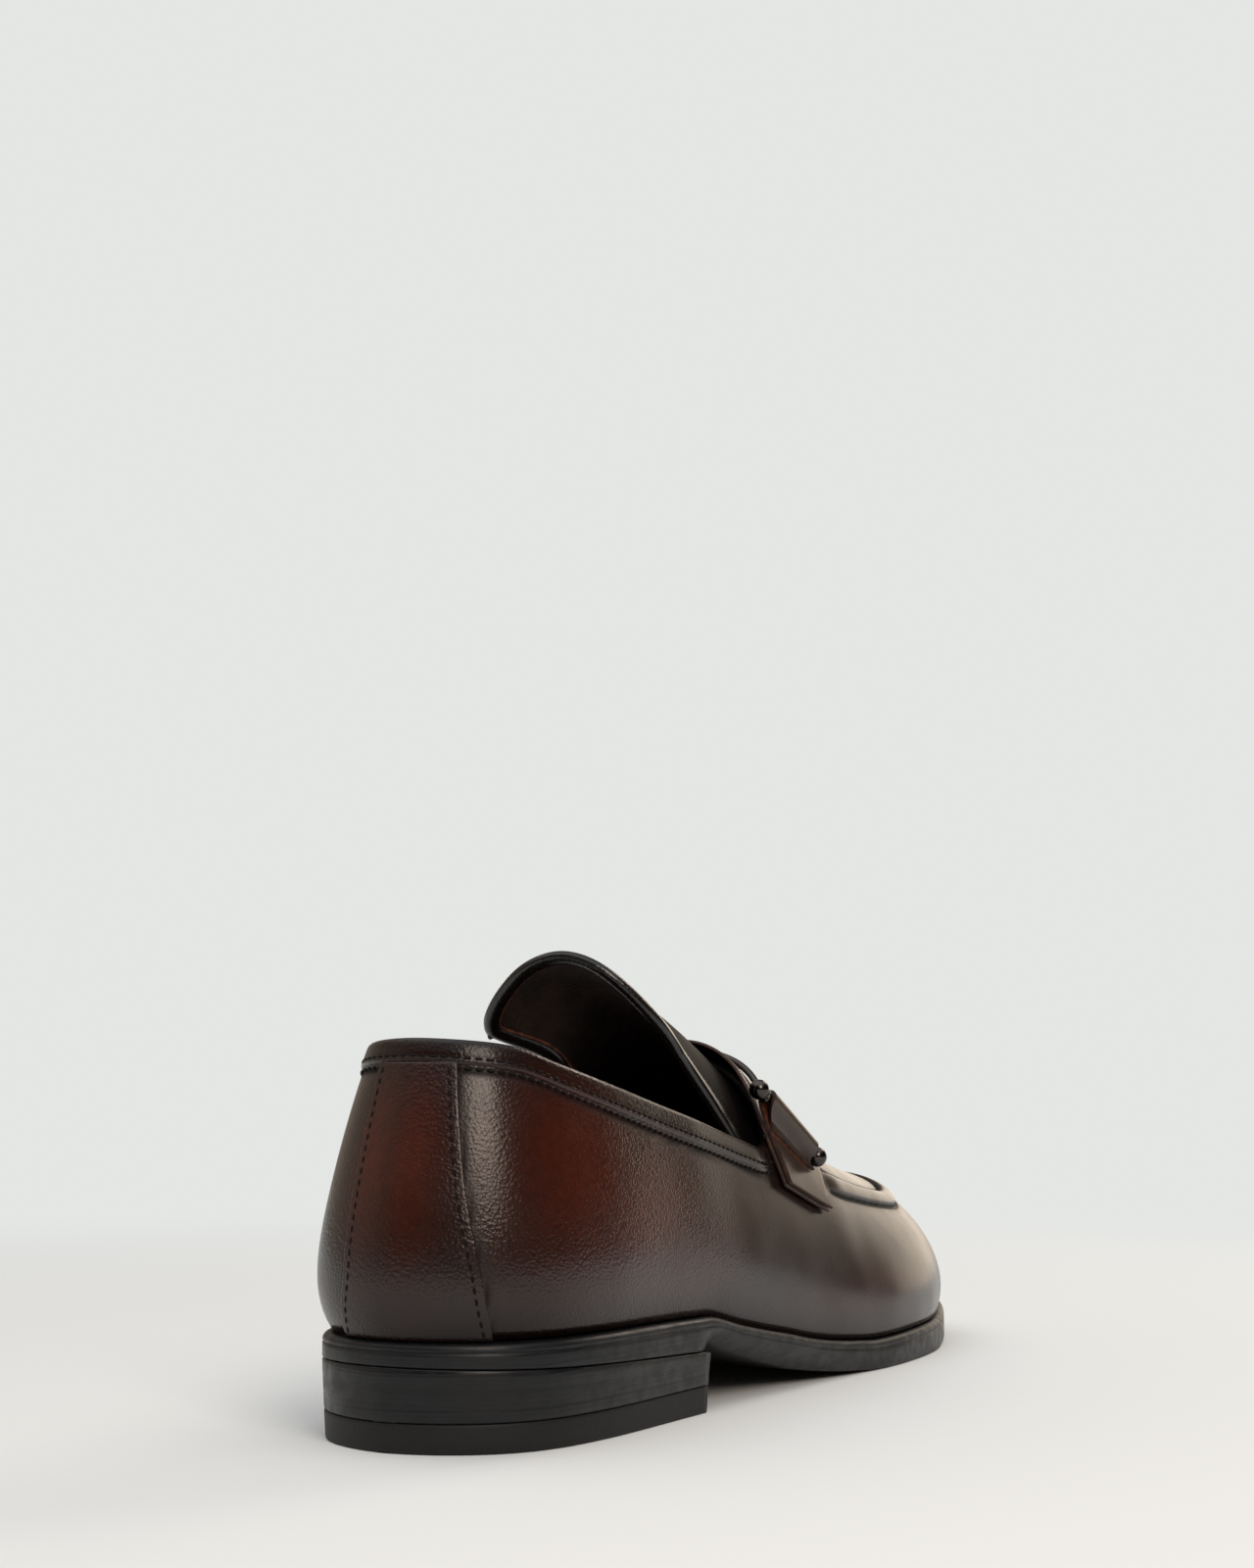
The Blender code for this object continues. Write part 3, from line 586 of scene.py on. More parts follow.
def lining_hide(name, base, dark):
    """Unfinished calf lining: matt, a little fuzzy, with a scatter of pinholes."""
    material, add, where = begin(name)
    shade = patches(add, where, 0.006, 3.0, 0.3, 0.7)
    tone = add("Mix", COLOUR, {0: shade, 6: linear(base), 7: linear(dark)}, 2)
    pores = add("TexVoronoi", {"feature": "F1"}, {"Vector": where, "Scale": 1 / 0.0016}, "Distance")
    pits = add("MapRange", SOFT, {0: pores, 1: 0.05, 2: 0.5})
    fuzz = add("TexNoise", {}, {"Vector": where, "Scale": 1 / 0.0008, "Detail": 3.0})
    relief = add("Math", PLUS, {0: pits, 1: fuzz})
    normal = add("Bump", {}, {"Height": relief, "Distance": 0.0002, "Strength": 0.7})
    return finish(material, {"Base Color": tone, "Roughness": 0.72, "Specular IOR Level": 0.3,
                             "Normal": normal})


def waxed_edge(name, base, light, roughness, line_strength=0.25):
    """Trimmed leather edge, dyed black, waxed and burnished with a hot iron: satin, with the
    faint lines of its layers."""
    material, add, where = begin(name)
    wander = add("TexNoise", {}, {"Vector": where, "Scale": 1 / 0.020})
    wander = add("Math", TIMES, {0: wander, 1: 0.0012})
    height = add("Math", PLUS, {0: add("SeparateXYZ", {}, {0: where}, "Z"), 1: wander})
    streaks = add("TexNoise", {"noise_dimensions": "1D"},
                  {"W": height, "Scale": 1 / 0.0007, "Detail": 3.0})
    shade = add("MapRange", SOFT, {0: streaks, 1: 0.35, 2: 0.75, 4: line_strength})
    tone = add("Mix", COLOUR, {0: shade, 6: linear(base), 7: linear(light)}, 2)
    rough = patches(add, where, 0.004, 3.0, 0.3, 0.7, roughness - 0.06, roughness + 0.10)
    fibre = add("TexNoise", {}, {"Vector": where, "Scale": 1 / 0.0009})
    relief = add("Math", PLUS, {0: streaks, 1: add("Math", TIMES, {0: fibre, 1: 0.5})})
    normal = add("Bump", {}, {"Height": relief, "Distance": 0.00012, "Strength": 0.7})
    return finish(material, {"Base Color": tone, "Roughness": rough, "Specular IOR Level": 0.35,
                             "Coat Weight": 0.08, "Coat Roughness": 0.25, "Normal": normal})


def cast_rubber(name, base):
    """Moulded rubber top lift: matt black with a fine even tooth."""
    material, add, where = begin(name)
    tooth = add("TexNoise", {}, {"Vector": where, "Scale": 1 / 0.0007})
    normal = add("Bump", {}, {"Height": tooth, "Distance": 0.00012, "Strength": 0.8})
    return finish(material, {"Base Color": linear(base), "Roughness": 0.58, "Specular IOR Level": 0.4,
                             "Normal": normal})


def polished_metal(name, base):
    """Gunmetal plate over turned brass: dark mirror with hair-fine turning marks."""
    material, add, where = begin(name)
    rough = patches(add, where, 0.0012, 3.0, 0.3, 0.7, 0.10, 0.24)
    return finish(material, {"Base Color": linear(base), "Roughness": rough, "Metallic": 1.0})


def waxed_thread(name, base, light):
    """Waxed polyester thread: satin, its twist just seen."""
    material, add, where = begin(name)
    shade = patches(add, where, 0.0005, 1.0, 0.4, 0.6, 0.0, 0.6)
    tone = add("Mix", COLOUR, {0: shade, 6: linear(base), 7: linear(light)}, 2)
    return finish(material, {"Base Color": tone, "Roughness": 0.55, "Specular IOR Level": 0.15})


def raw_edge(name, base, dark):
    """Cut edge of veg-tanned leather: dry fibres, tan and brown."""
    material, add, where = begin(name)
    shade = patches(add, where, 0.0016, 3.0, 0.3, 0.7)
    tone = add("Mix", COLOUR, {0: shade, 6: linear(base), 7: linear(dark)}, 2)
    fibre = add("TexNoise", {}, {"Vector": where, "Scale": 1 / 0.0006})
    normal = add("Bump", {}, {"Height": fibre, "Distance": 0.0001, "Strength": 0.8})
    return finish(material, {"Base Color": tone, "Roughness": 0.65, "Normal": normal})


BACKDROP = "#e4e6e4"
PAPER_NEAR = 0.25      # distances from the shoe's middle between which the paper melts away
PAPER_FAR = 0.75


def painted_floor(name, base):
    """Seamless studio paper, matt; away from the shoe it melts into the bright backdrop."""
    material, add, where = begin(name)
    finish(material, {"Base Color": linear(base), "Roughness": 0.9, "Specular IOR Level": 0.1})
    away = add("VectorMath", {"operation": "LENGTH"}, {0: where}, "Value")
    reach = add("MapRange", SOFT, {0: away, 1: PAPER_NEAR, 2: PAPER_FAR})
    glow = add("Emission", {}, {"Color": linear(BACKDROP)})
    tree = material.node_tree
    paper = tree.nodes["Principled BSDF"].outputs[0]
    both = add("MixShader", {}, {0: reach, 1: paper, 2: glow})
    fill(tree, tree.nodes["Material Output"], {"Surface": both})
    return material


calf = box_calf("brown_box_calf", "#26150f", "#0d0706", "#4a1d11")
# Near-black, nearly glossless copy of the calf: painted shade on the tongue's outside and under the strap
calf_painted_shade = box_calf("box_calf_painted_shade", "#140e0c", "#0a0707", "#20120e", 0.45, 0.03)
# Lighter copy of the calf for the strap and its loops: painted sheen
strap_calf_painted_sheen = box_calf("strap_box_calf_painted_sheen", "#453429", "#2a1c15", "#4a1d11", 0.30, 0.50)
binding_calf = box_calf("black_box_calf", "#120e0d", "#0a0707", "#120e0d", 0.24, 0.50)
lining = lining_hide("brown_calf_lining", "#33241e", "#1f1613")
sock = lining_hide("brown_insole_leather", "#4a362b", "#33251e")
sole_edge_finish = waxed_edge("black_sole_edge", "#0e0f12", "#1a1b1e", 0.44)
stack_finish = waxed_edge("black_heel_stack_edge", "#0b0b0d", "#1b1b1e", 0.40, 0.30)
rubber = cast_rubber("black_rubber_top_lift", "#131314")
gunmetal = polished_metal("gunmetal_plate", "#4a4644")
thread = waxed_thread("dark_waxed_thread", "#070505", "#150d0b")
tan_edge = raw_edge("tan_cut_edge", "#7a4328", "#3c2015")
brown_edge = raw_edge("brown_cut_edge", "#4a2c20", "#1d120e")
dark_edge = raw_edge("black_waxed_cut_edge", "#191413", "#0f0c0b")
flesh_side = raw_edge("tan_flesh_side", "#8c4a2a", "#5a2e1c")


# Colour clouds of the burnishing, and painted shade

# Warm clouds on both sides: station, rise, reach along, reach up, strength
WARM_CLOUDS = (
    (0.002, 0.28, 0.0075, 0.030, 0.95),
    (0.120, 0.27, 0.024, 0.026, 1.0),
    (0.195, 0.17, 0.028, 0.018, 0.9),
    (0.270, 0.09, 0.030, 0.012, 0.6),
    (0.620, 0.12, 0.050, 0.007, 0.5),
)


def burnish_and_shade_of(x, z, collar):
    """How dark the leather is painted: most at the feather line, darker wax there with painted shade,
    and, on the upper, painted shade under the collar.
    """
    # darker wax and painted shade along the feather line
    low = np.exp(-np.maximum(z - feather(x), 0) / 0.008)
    topline = BACK_HEIGHT * smooth(TOPLINE, x / LENGTH)
    # painted shade under the collar, as strong as collar
    high = np.exp(-np.maximum(topline - z, 0) / 0.006) * (x < 0.5 * LENGTH)
    return np.clip(0.80 * low + collar * high, 0, 1)


def near_line(places, line, reach):
    """1 on a line of points and fading to 0 away from it."""
    nearest = np.full(len(places), np.inf)
    for start in range(0, len(line), 50):
        gaps = np.linalg.norm(places[:, None, :] - line[None, start:start + 50, :], axis=2)
        nearest = np.minimum(nearest, gaps.min(axis=1))
    return np.exp(-(nearest / reach) ** 2)


def tint(thing, extra=0.0, collar=0.0, shade_lines=()):
    """Stores how warm and how dark the leather is at each point: painted shade under the collar, painted
    shade with darker wax at the feather line, and painted shade along the shade lines; extra darkens all of
    it.
    """
    mesh = thing.data
    count = len(mesh.vertices)
    places = np.empty(count * 3)
    mesh.vertices.foreach_get("co", places)
    places = places.reshape(-1, 3) - (HEEL_BACK_X, -MIDDLE_Y, 0)
    warmth = np.zeros(count)
    for station, rise, along, up, strength in WARM_CLOUDS:
        for side in (-1, 1):
            gap = places - skin(angle_of(station), side, rise)
            flat = np.hypot(gap[:, 0], gap[:, 1])
            cloud = strength * np.exp(-(flat / along) ** 2 - (gap[:, 2] / up) ** 2)
            warmth = np.maximum(warmth, cloud)
    burnish = np.clip(burnish_and_shade_of(places[:, 0], places[:, 2], collar) + extra, 0, 1)
    # painted shade along the shade lines
    crease = np.zeros(count)
    for line, reach, strength in shade_lines:
        crease = np.maximum(crease, strength * near_line(places, line, reach))
    for name, values in (("warmth", warmth), ("burnish", burnish), ("crease", crease)):
        layer = mesh.attributes.new(name, "FLOAT", "POINT")
        layer.data.foreach_set("value", values.astype(np.float32))


# The upper

def ridge_lift(distance, amount):
    """Relief of the apron seam: a rolled ridge between two pressed grooves."""
    half = RIDGE_WIDTH / 2
    dome = np.sqrt(np.clip(1 - (distance / half) ** 2, 0, 1))
    groove = np.exp(-((np.abs(distance) - half - GROOVE_WIDTH * 0.6) / GROOVE_WIDTH) ** 2)
    return amount * (RIDGE_PROUD * dome - GROOVE_DEPTH * groove)


def seam_shade_lines():
    """Lines of painted shade, darker and duller: the ridge's grooves, under the band and beside the heel
    strip.
    """
    angle, side = both_sides(np.linspace(float(angle_of(0.585)), math.pi, 220))
    length = arc_length(angle, side)
    seam = smooth(APRON, station_of(angle) / LENGTH) + RIDGE_WIDTH / 2 / length
    off = (RIDGE_WIDTH / 2 + GROOVE_WIDTH * 0.6) / length
    lines = [(skin(angle, side, seam + sign * off), 0.0011, 0.95) for sign in (-1, 1)]
    angle, side = round_heel(0.46, 260)
    rise = topline_rise(angle) - (LEDGE_FOOT + 0.0006) / arc_length(angle, side)
    lines.append((skin(angle, side, rise), 0.0009, 0.7))
    rise = np.linspace(0, HEEL_TOP, 200)
    for edge in (-1, 1):
        angle, side = strip_place(rise, 1.02 * edge)
        lines.append((skin(angle, side, rise), 0.0009, 0.6))
    return lines


RIDGE_START = 0.575        # stations between which the ridge rises out of the upper
RIDGE_FULL = 0.61
THROAT = (0.455, 0.556)    # stations between which the sections stand closer together
RELIEF_REACH = 0.0052      # from the apron seam to the end of its relief
BELOW_RIDGE = 22           # rows of faces under, on and over that relief
ON_RIDGE = 20
ABOVE_RIDGE = 24


def make_upper():
    even = np.linspace(0, math.pi, 141)
    throat = angle_of(np.linspace(*THROAT, 60))
    angle, side = both_sides(np.unique(np.concatenate([even, throat])))
    x = station_of(angle)
    end, length = topline_rise(angle), arc_length(angle, side)
    seam = smooth(APRON, x / LENGTH) + RIDGE_WIDTH / 2 / length
    reach = RELIEF_REACH / length
    low, high = seam - reach, np.minimum(seam + reach, end - 0.0005 / length)
    rises = [low * i / BELOW_RIDGE for i in range(BELOW_RIDGE)]
    rises += [low + (high - low) * i / ON_RIDGE for i in range(ON_RIDGE)]
    rises += [high + (end - high) * i / ABOVE_RIDGE for i in range(ABOVE_RIDGE + 1)]
    rises = np.array(rises)
    lifts = ridge_lift((rises - seam) * length, ramp(x, RIDGE_START * LENGTH, RIDGE_FULL * LENGTH))
    bm = open_sheet(skin(angle, side, rises, lifts))
    upper = piece("upper_calf", bm, (calf, lining, dark_edge), ("upper",))
    # collar=0.45 paints shade under the collar
    tint(upper, collar=0.45, shade_lines=seam_shade_lines())
    give_wall(upper, WALL, inside=1, rim=2)


# Distances down from the topline: upper row of stitches, foot of the band, foot of the ledge under it
UPPER_ROW = 0.0041
BAND_FOOT = 0.0052
LEDGE_FOOT = 0.0062


def make_collar_band():
    """The folded band round the collar: over the edge and down inside."""
    angle, side = round_heel(0.485, 150)
    x = station_of(angle)
    end, length = topline_rise(angle), arc_length(angle, side)
    proud = BAND_PROUD - 0.0004 * ramp(x, 0.425 * LENGTH, 0.445 * LENGTH)
    roll = (WALL + proud + 0.0004) / 2
    middle = proud - roll
    inner = middle - roll
    under = -0.0006 + 0 * x
    profile = [(LEDGE_FOOT, under), (LEDGE_FOOT, proud * 0.10), (LEDGE_FOOT - 0.0002, proud * 0.38)]
    profile += [(LEDGE_FOOT - 0.0005, proud * 0.48), (BAND_FOOT + 0.0002, proud * 0.48)]
    profile += [(BAND_FOOT, proud * 0.62), (BAND_FOOT - 0.0001, proud * 0.88), (BAND_FOOT - 0.0004, proud)]
    profile += [(UPPER_ROW + 0.0005, proud), (UPPER_ROW, proud - 0.0002), (UPPER_ROW - 0.0005, proud)]
    profile += [(0.0028, proud), (0.0020, proud)]
    for turn in np.radians([0, 20, 40, 60, 80, 100, 120, 140, 160, 180]):
        profile.append((0.0012 - roll * math.sin(turn), middle + roll * math.cos(turn)))
    profile += [(0.003, inner), (0.006, inner), (0.0085, inner), (0.0090, inner + 0.0003)]
    profile += [(0.0090, under), (LEDGE_FOOT, under)]
    rows = [skin(angle, side, end - down / length, lift) for down, lift in profile]
    band = piece("collar_band", closed_skin(rows), (calf,))
    # collar=0.45 paints shade under the collar
    tint(band, 0.2, collar=0.45)


def strip_reach(rise, side):
    """Distance from the middle of the heel's back to the strip's edge."""
    share = rise / HEEL_TOP
    return np.where(side < 0, smooth(STRIP_EDGE, share), smooth(STRIP_EDGE, share, 2))


def strip_place(rise, share):
    """Angle and side on the heel strip: share -1 is its right edge and 1 its left."""
    side = np.where(share < 0, -1.0, 1.0)
    radius = LENGTH / 2 * HEEL_ROUND * (1 - HEEL_LEAN * rise / HEEL_TOP)
    return np.abs(share) * strip_reach(rise, side) / radius, side


STRIP_ROW = 0.0017     # from the strip's edge to its stitches


def make_heel_strip():
    """The strip over the seam at the back of the heel, flared towards the sole."""
    length = float(arc_length(0.0, -1.0))
    rise = np.linspace(0, HEEL_TOP - (BAND_WIDTH - 0.001) / length, 60)[:, None]
    angle, side = strip_place(rise, np.linspace(-1, 1, 41))
    bm = open_sheet(skin(angle, side, rise, STRIP_PROUD))
    strip = piece("heel_strip", bm, (calf, calf, brown_edge))
    # collar=0.45 paints shade under the collar
    tint(strip, collar=0.45)
    give_wall(strip, STRIP_PROUD + 0.0003, rim=2)
    soften(strip, 0.0003)


def make_upper_stitches():
    bm = bmesh.new()
    angle, side = round_heel(0.455, 300)
    end, length = topline_rise(angle), arc_length(angle, side)
    sew(bm, angle, side, end - UPPER_ROW / length, BAND_PROUD - 0.0001)
    sew(bm, angle, side, end - LEDGE_FOOT / length, BAND_PROUD * 0.35)
    rise = np.linspace(0.004, HEEL_TOP * 0.90, 160)
    for edge in (-1, 1):
        angle, side = strip_place(rise, edge * (1 - STRIP_ROW / strip_reach(rise, edge)))
        sew(bm, angle, side, rise, STRIP_PROUD - 0.0001)
    piece("upper_stitches", bm, (thread,))


# The tongue

def tongue_surface(x, across):
    """The tongue's outside: flatter than the last where it stands free, along the last under the strap."""
    side = np.where(across < 0, -1.0, 1.0)
    reach = np.abs(across)
    low = TONGUE_HIGH + (TONGUE_LOW - TONGUE_HIGH) * ramp(x, 0.36 * LENGTH, 0.46 * LENGTH)
    held = skin(angle_of(x / LENGTH), side, 1 - (1 - low) * reach, -(WALL + TONGUE_GAP))
    out = TONGUE_WIDTH / 2 * np.sin(reach * math.pi / 2)
    height = INSTEP_HEIGHT * smooth(CROWN, x / LENGTH) - WALL - TONGUE_GAP
    drop = TONGUE_DROP * (out / (TONGUE_WIDTH / 2)) ** TONGUE_ROUND
    free = np.stack([x, BALL_WIDTH * smooth(CREST, x / LENGTH) + side * out, height - drop], -1)
    hold = ramp(x, 0.32 * LENGTH, 0.395 * LENGTH)[..., None]
    return free + (held - free) * hold


def tongue_rear(across):
    return LENGTH * smooth(TONGUE_EDGE, np.abs(across)) - TONGUE_TWIST * across


TONGUE_FRONT = TOPLINE[-1][0] * LENGTH + TONGUE_TUCK


def tongue_point(across, share):
    rear = tongue_rear(across)
    return tongue_surface(rear + (TONGUE_FRONT - rear) * share, across)


def make_tongue():
    across = np.sin(np.linspace(-math.pi / 2, math.pi / 2, 61))
    share = np.linspace(0, 1, 50)[:, None] ** 1.2
    bm = open_sheet(tongue_point(across, share))
    tongue = piece("tongue_calf", bm, (calf_painted_shade, lining, dark_edge), ("tongue",))
    # 0.8 more darkening and dulling: painted shade on the tongue's outside
    tint(tongue, 0.8)
    give_wall(tongue, TONGUE_THICKNESS, inside=1, rim=2)


def tongue_rim():
    """Path round the tongue's free edge with the directions inwards and outwards from it."""
    side_share = np.linspace(0.62, 0.0, 50, endpoint=False)
    rear_across = np.sin(np.linspace(-math.pi / 2, math.pi / 2, 120))
    across = np.concatenate([np.full(50, -1.0), rear_across, np.full(50, 1.0)])
    share = np.concatenate([side_share, np.zeros(120), side_share[::-1]])
    path = tongue_point(across, share)
    relax(path, 6)
    near = np.clip(across, -0.9, 0.9)
    rear = tongue_rear(near)
    x = rear + (TONGUE_FRONT - rear) * share
    lengthwise = tongue_surface(x + 0.004, near) - tongue_surface(x, near)
    crosswise = tongue_surface(x, near + 0.05) - tongue_surface(x, near - 0.05)
    outward = unit(np.cross(lengthwise, crosswise))
    relax(outward, 8)
    inward = unit(np.cross(np.gradient(path, axis=0), outward))
    middle = tongue_point(np.array([0.0]), np.array([0.5]))[0]
    if np.sum(inward * (middle - path)) < 0:
        inward = -inward
    outward = outward * np.sign(np.mean(outward[:, 2]))
    return path, inward, outward


def sweep_rim(path, inward, outward, profile):
    """A strip round an edge: profile is a closed list of (inward, outward) distances."""
    return closed_skin([path + inward * a + outward * b for a, b in profile])


def make_tongue_binding():
    """A strip of calf rolled round the tongue's edge, and the lining's cut edge beside it."""
    path, inward, outward = tongue_rim()
    half = TONGUE_THICKNESS / 2
    roll = half + 0.0005
    profile = [(0.0045, -0.0004), (0.0045, 0.0002), (0.0042, 0.0005), (0.0030, 0.0005), (0.0018, 0.0005)]
    profile += [(0.0012 - roll * math.sin(t), -half + roll * math.cos(t))
                for t in np.radians([0, 22, 45, 67, 90, 113, 135, 158, 180])]
    inner = -half - roll
    profile += [(0.0020, inner), (0.0030, inner), (0.0033, inner + 0.0002), (0.0034, inner + 0.0006),
                (0.0045, -0.0004)]
    strip = sweep_rim(path, inward, outward, profile)
    tint(piece("tongue_binding", strip, (binding_calf,)))
    deep = -TONGUE_THICKNESS
    cut = [(0.0030, deep + 0.0003), (0.0040, deep + 0.0003), (0.0040, deep - 0.0002)]
    cut += [(0.0036, deep - 0.0003), (0.0030, deep - 0.0003), (0.0030, deep + 0.0003)]
    piece("tongue_lining_edge", sweep_rim(path, inward, outward, cut), (tan_edge,))


# The strap and the bit

STRAP_TOP = STRAP_LIFT + STRAP_THICKNESS
EYE_RADIUS = BAR_RADIUS + EYE_CLEARANCE + PLY / 2
INNER_PLY = STRAP_TOP + GAP + PLY / 2
BAR_LIFT = INNER_PLY + EYE_RADIUS + BAR_SLACK


def strap_angle(rise, share):
    rear, front = smooth(STRAP, rise), smooth(STRAP, rise, 2)
    return angle_of(rear + (front - rear) * share)


def make_strap():
    """The saddle strap: from the right side over the instep to the left side."""
    rise, side = both_sides(np.linspace(STRAP[0][0], 1, 70))
    share = np.linspace(1, 0, 24)[:, None]
    bm = open_sheet(skin(strap_angle(rise, share), side, rise, STRAP_TOP))
    # The strap's lighter calf is painted sheen; its underside is painted shade
    strap = piece("strap_calf_painted_sheen", bm, (strap_calf_painted_sheen, calf_painted_shade, brown_edge), ("saddle_strap",))
    tint(strap)
    give_wall(strap, STRAP_THICKNESS, inside=1, rim=2)
    soften(strap, 0.0004)


def bar_place(share):
    """Station and rise on the last under the cheek bar, from its rear end to its front end."""
    return np.array(CHEEK_REAR) + np.subtract(CHEEK_FRONT, CHEEK_REAR) * share


def cheek_ends(side):
    """Middle points of the bar's two ends beside the instep."""
    rear, front = (skin(angle_of(station), side, rise, BAR_LIFT)
                   for station, rise in (CHEEK_REAR, CHEEK_FRONT))
    middle = (rear + front) / 2
    along = unit(front - rear)
    return middle - along * CHEEK_LENGTH / 2, middle + along * CHEEK_LENGTH / 2


def loop_points(side):
    """Rows along the folded strip and columns across it."""
    rear, front = cheek_ends(side)
    axis = unit(front - rear)
    low_rise = STRAP[0][0] + LOOP_FOOT
    steps = np.concatenate([np.linspace(0, 0.8, 21), np.linspace(0.80, 0.64, 6)])
    lift = np.repeat([INNER_PLY, INNER_PLY + PLY + PLY_GAP], [21, 6])
    turns = np.radians(np.linspace(-90, 165, 18))
    sections = []
    for share in np.linspace(0, 1, 41):
        along = LOOP_REAR + (LOOP_FRONT - LOOP_REAR) * share
        centre = rear + (front - rear) * along
        bar_station, bar_rise = bar_place(along)
        low_station = STRAP[0][1] + (STRAP[0][2] - STRAP[0][1]) * (0.02 + 0.96 * share)
        foot = skin(angle_of(bar_station), side, bar_rise, 0.0)
        above = skin(angle_of(bar_station), side, bar_rise, 0.01)
        out = unit(above - foot)
        out = unit(out - axis * out.dot(axis))
        up = np.cross(axis, out)
        up *= np.sign(up[2])
        rise = low_rise + (bar_rise - low_rise) * steps
        station = low_station + (bar_station - low_station) * steps
        plies = skin(angle_of(station), side, rise, lift)
        eye = [centre + EYE_RADIUS * (up * math.cos(t) + out * math.sin(t)) for t in turns]
        section = np.concatenate([plies[:21], eye, plies[21:]])
        relax(section, 2)
        sections.append(section)
    return np.array(sections)


GRAIN_ROWS = 16        # rows of the inner ply, from its foot, that are faced with grain on both sides


def make_loop(side, word):
    """A strip folded round the bar, its two plies sewn down on the strap."""
    points = loop_points(side)
    bm = lay(points)
    bmesh.ops.recalc_face_normals(bm, faces=bm.faces)
    places = in_frame(points)
    for face in bm.faces:
        gaps = np.linalg.norm(places - np.array(face.calc_center_median()), axis=2)
        if np.argmin(gaps) % places.shape[1] < GRAIN_ROWS:
            face.material_index = 3
    # The loops' lighter calf is painted sheen
    materials = (strap_calf_painted_sheen, flesh_side, brown_edge, strap_calf_painted_sheen, strap_calf_painted_sheen, brown_edge)
    loop = piece("loop_calf_" + word, bm, materials, ("bit_loop_" + word,))
    tint(loop)
    give_wall(loop, PLY, 0.0, inside=1, rim=2)
    soften(loop, 0.0003)


def make_cheek(side, word):
    """A turned bar with a ball at each end."""
    half = CHEEK_LENGTH / 2
    neck = BAR_RADIUS * 1.25
    stop = math.pi - math.asin(neck / BALL_RADIUS)
    outline = [(BALL_RADIUS * math.sin(a), half + BALL_RADIUS * math.cos(a))
               for a in np.linspace(0, stop, 25)]
    bead = 0.00045
    centre = half - BALL_RADIUS * 1.15
    outline += [(neck + bead * math.sin(a), centre + bead * 1.2 * math.cos(a))
                for a in np.linspace(0, math.pi, 9)]
    outline += [(BAR_RADIUS * 1.02, centre - 0.0008), (BAR_RADIUS, centre - 0.0016)]
    outline += [(r, -z) for r, z in reversed(outline)]
    bm = bmesh.new()
    verts = [bm.verts.new((max(r, 0.0), 0, z)) for r, z in outline]
    edges = [bm.edges.new(pair) for pair in zip(verts, verts[1:])]
    bmesh.ops.spin(bm, geom=verts + edges, axis=(0, 0, 1), cent=(0, 0, 0), angle=2 * math.pi,
                   steps=48, use_merge=True)
    bmesh.ops.remove_doubles(bm, verts=bm.verts, dist=0.00001)
    bmesh.ops.recalc_face_normals(bm, faces=bm.faces)
    rear, front = cheek_ends(side)
    turn = Vector(front - rear).to_track_quat("Z", "Y").to_matrix().to_4x4()
    place = Matrix.Translation(Vector(in_frame((rear + front) / 2))) @ turn
    bmesh.ops.transform(bm, matrix=place, verts=bm.verts)
    piece("cheek_bar_" + word, bm, (gunmetal,), ("bit_cheek_" + word,))


def make_bridge():
    """The bit's bar: over the strap from one cheek bar to the other."""
    lift = STRAP_TOP + GAP + BRIDGE_RADIUS
    station, low = bar_place(BIT_PLACE)
    halves = []
    for side in (-1.0, 1.0):
        rear, front = cheek_ends(side)
        centre = rear + (front - rear) * BIT_PLACE
        rises = np.linspace(low + 0.13, 0.97, 40)
        t = (rises - low) / (1 - low)
        stations = station + (BIT_CREST - station) * np.sin(t * math.pi / 2)
        half = skin(angle_of(stations), side, rises, lift)
        start = centre + unit(half[0] - centre) * (BAR_RADIUS * 0.5)
        lead = [start + (half[0] - start) * step for step in np.linspace(0, 1, 8, endpoint=False)]
        halves.append(np.concatenate([lead, half]))
    path = np.concatenate([halves[0], halves[1][::-1]])
    relax(path, 4)
    piece("bridge_rod", tube(path, BRIDGE_RADIUS, 24), (gunmetal,), ("bit_bar",))


# The bottom

# A bottom piece is a profile of (share, inset, height): share 1 is its edge and share 0 its middle line

def ring(plan, middle, share, height):
    """A ring of points drawn in towards the middle line, at the height that each place has."""
    plan = middle + (plan - middle) * share
    return np.column_stack([plan, height(plan[:, 0])])


def sole_ring():
    """Angles and sides round the sole, closer together at the heel's breast."""
    even = np.linspace(0, math.pi, 161)
    breast = angle_of(np.linspace(HEEL_LENGTH - 0.001, HEEL_LENGTH + 0.012, 24) / LENGTH)
    return both_sides(np.unique(np.concatenate([even, breast])))


def sole_rows(profile):
    angle, side = sole_ring()
    crest_x = crest_station(station_of(angle))
    crest = np.column_stack([crest_x, BALL_WIDTH * smooth(CREST, crest_x / LENGTH)])
    return [ring(sole_edge(angle, side, inset)[0], crest, share, height) for share, inset, height in profile]


def raised(surface, distance):
    return lambda x: surface(x) + distance


def between(low, high, share):
    return lambda x: low(x) * (1 - share) + high(x) * share


WELT_DEPTH = 0.0022
WELT_SLOPE = 0.0011


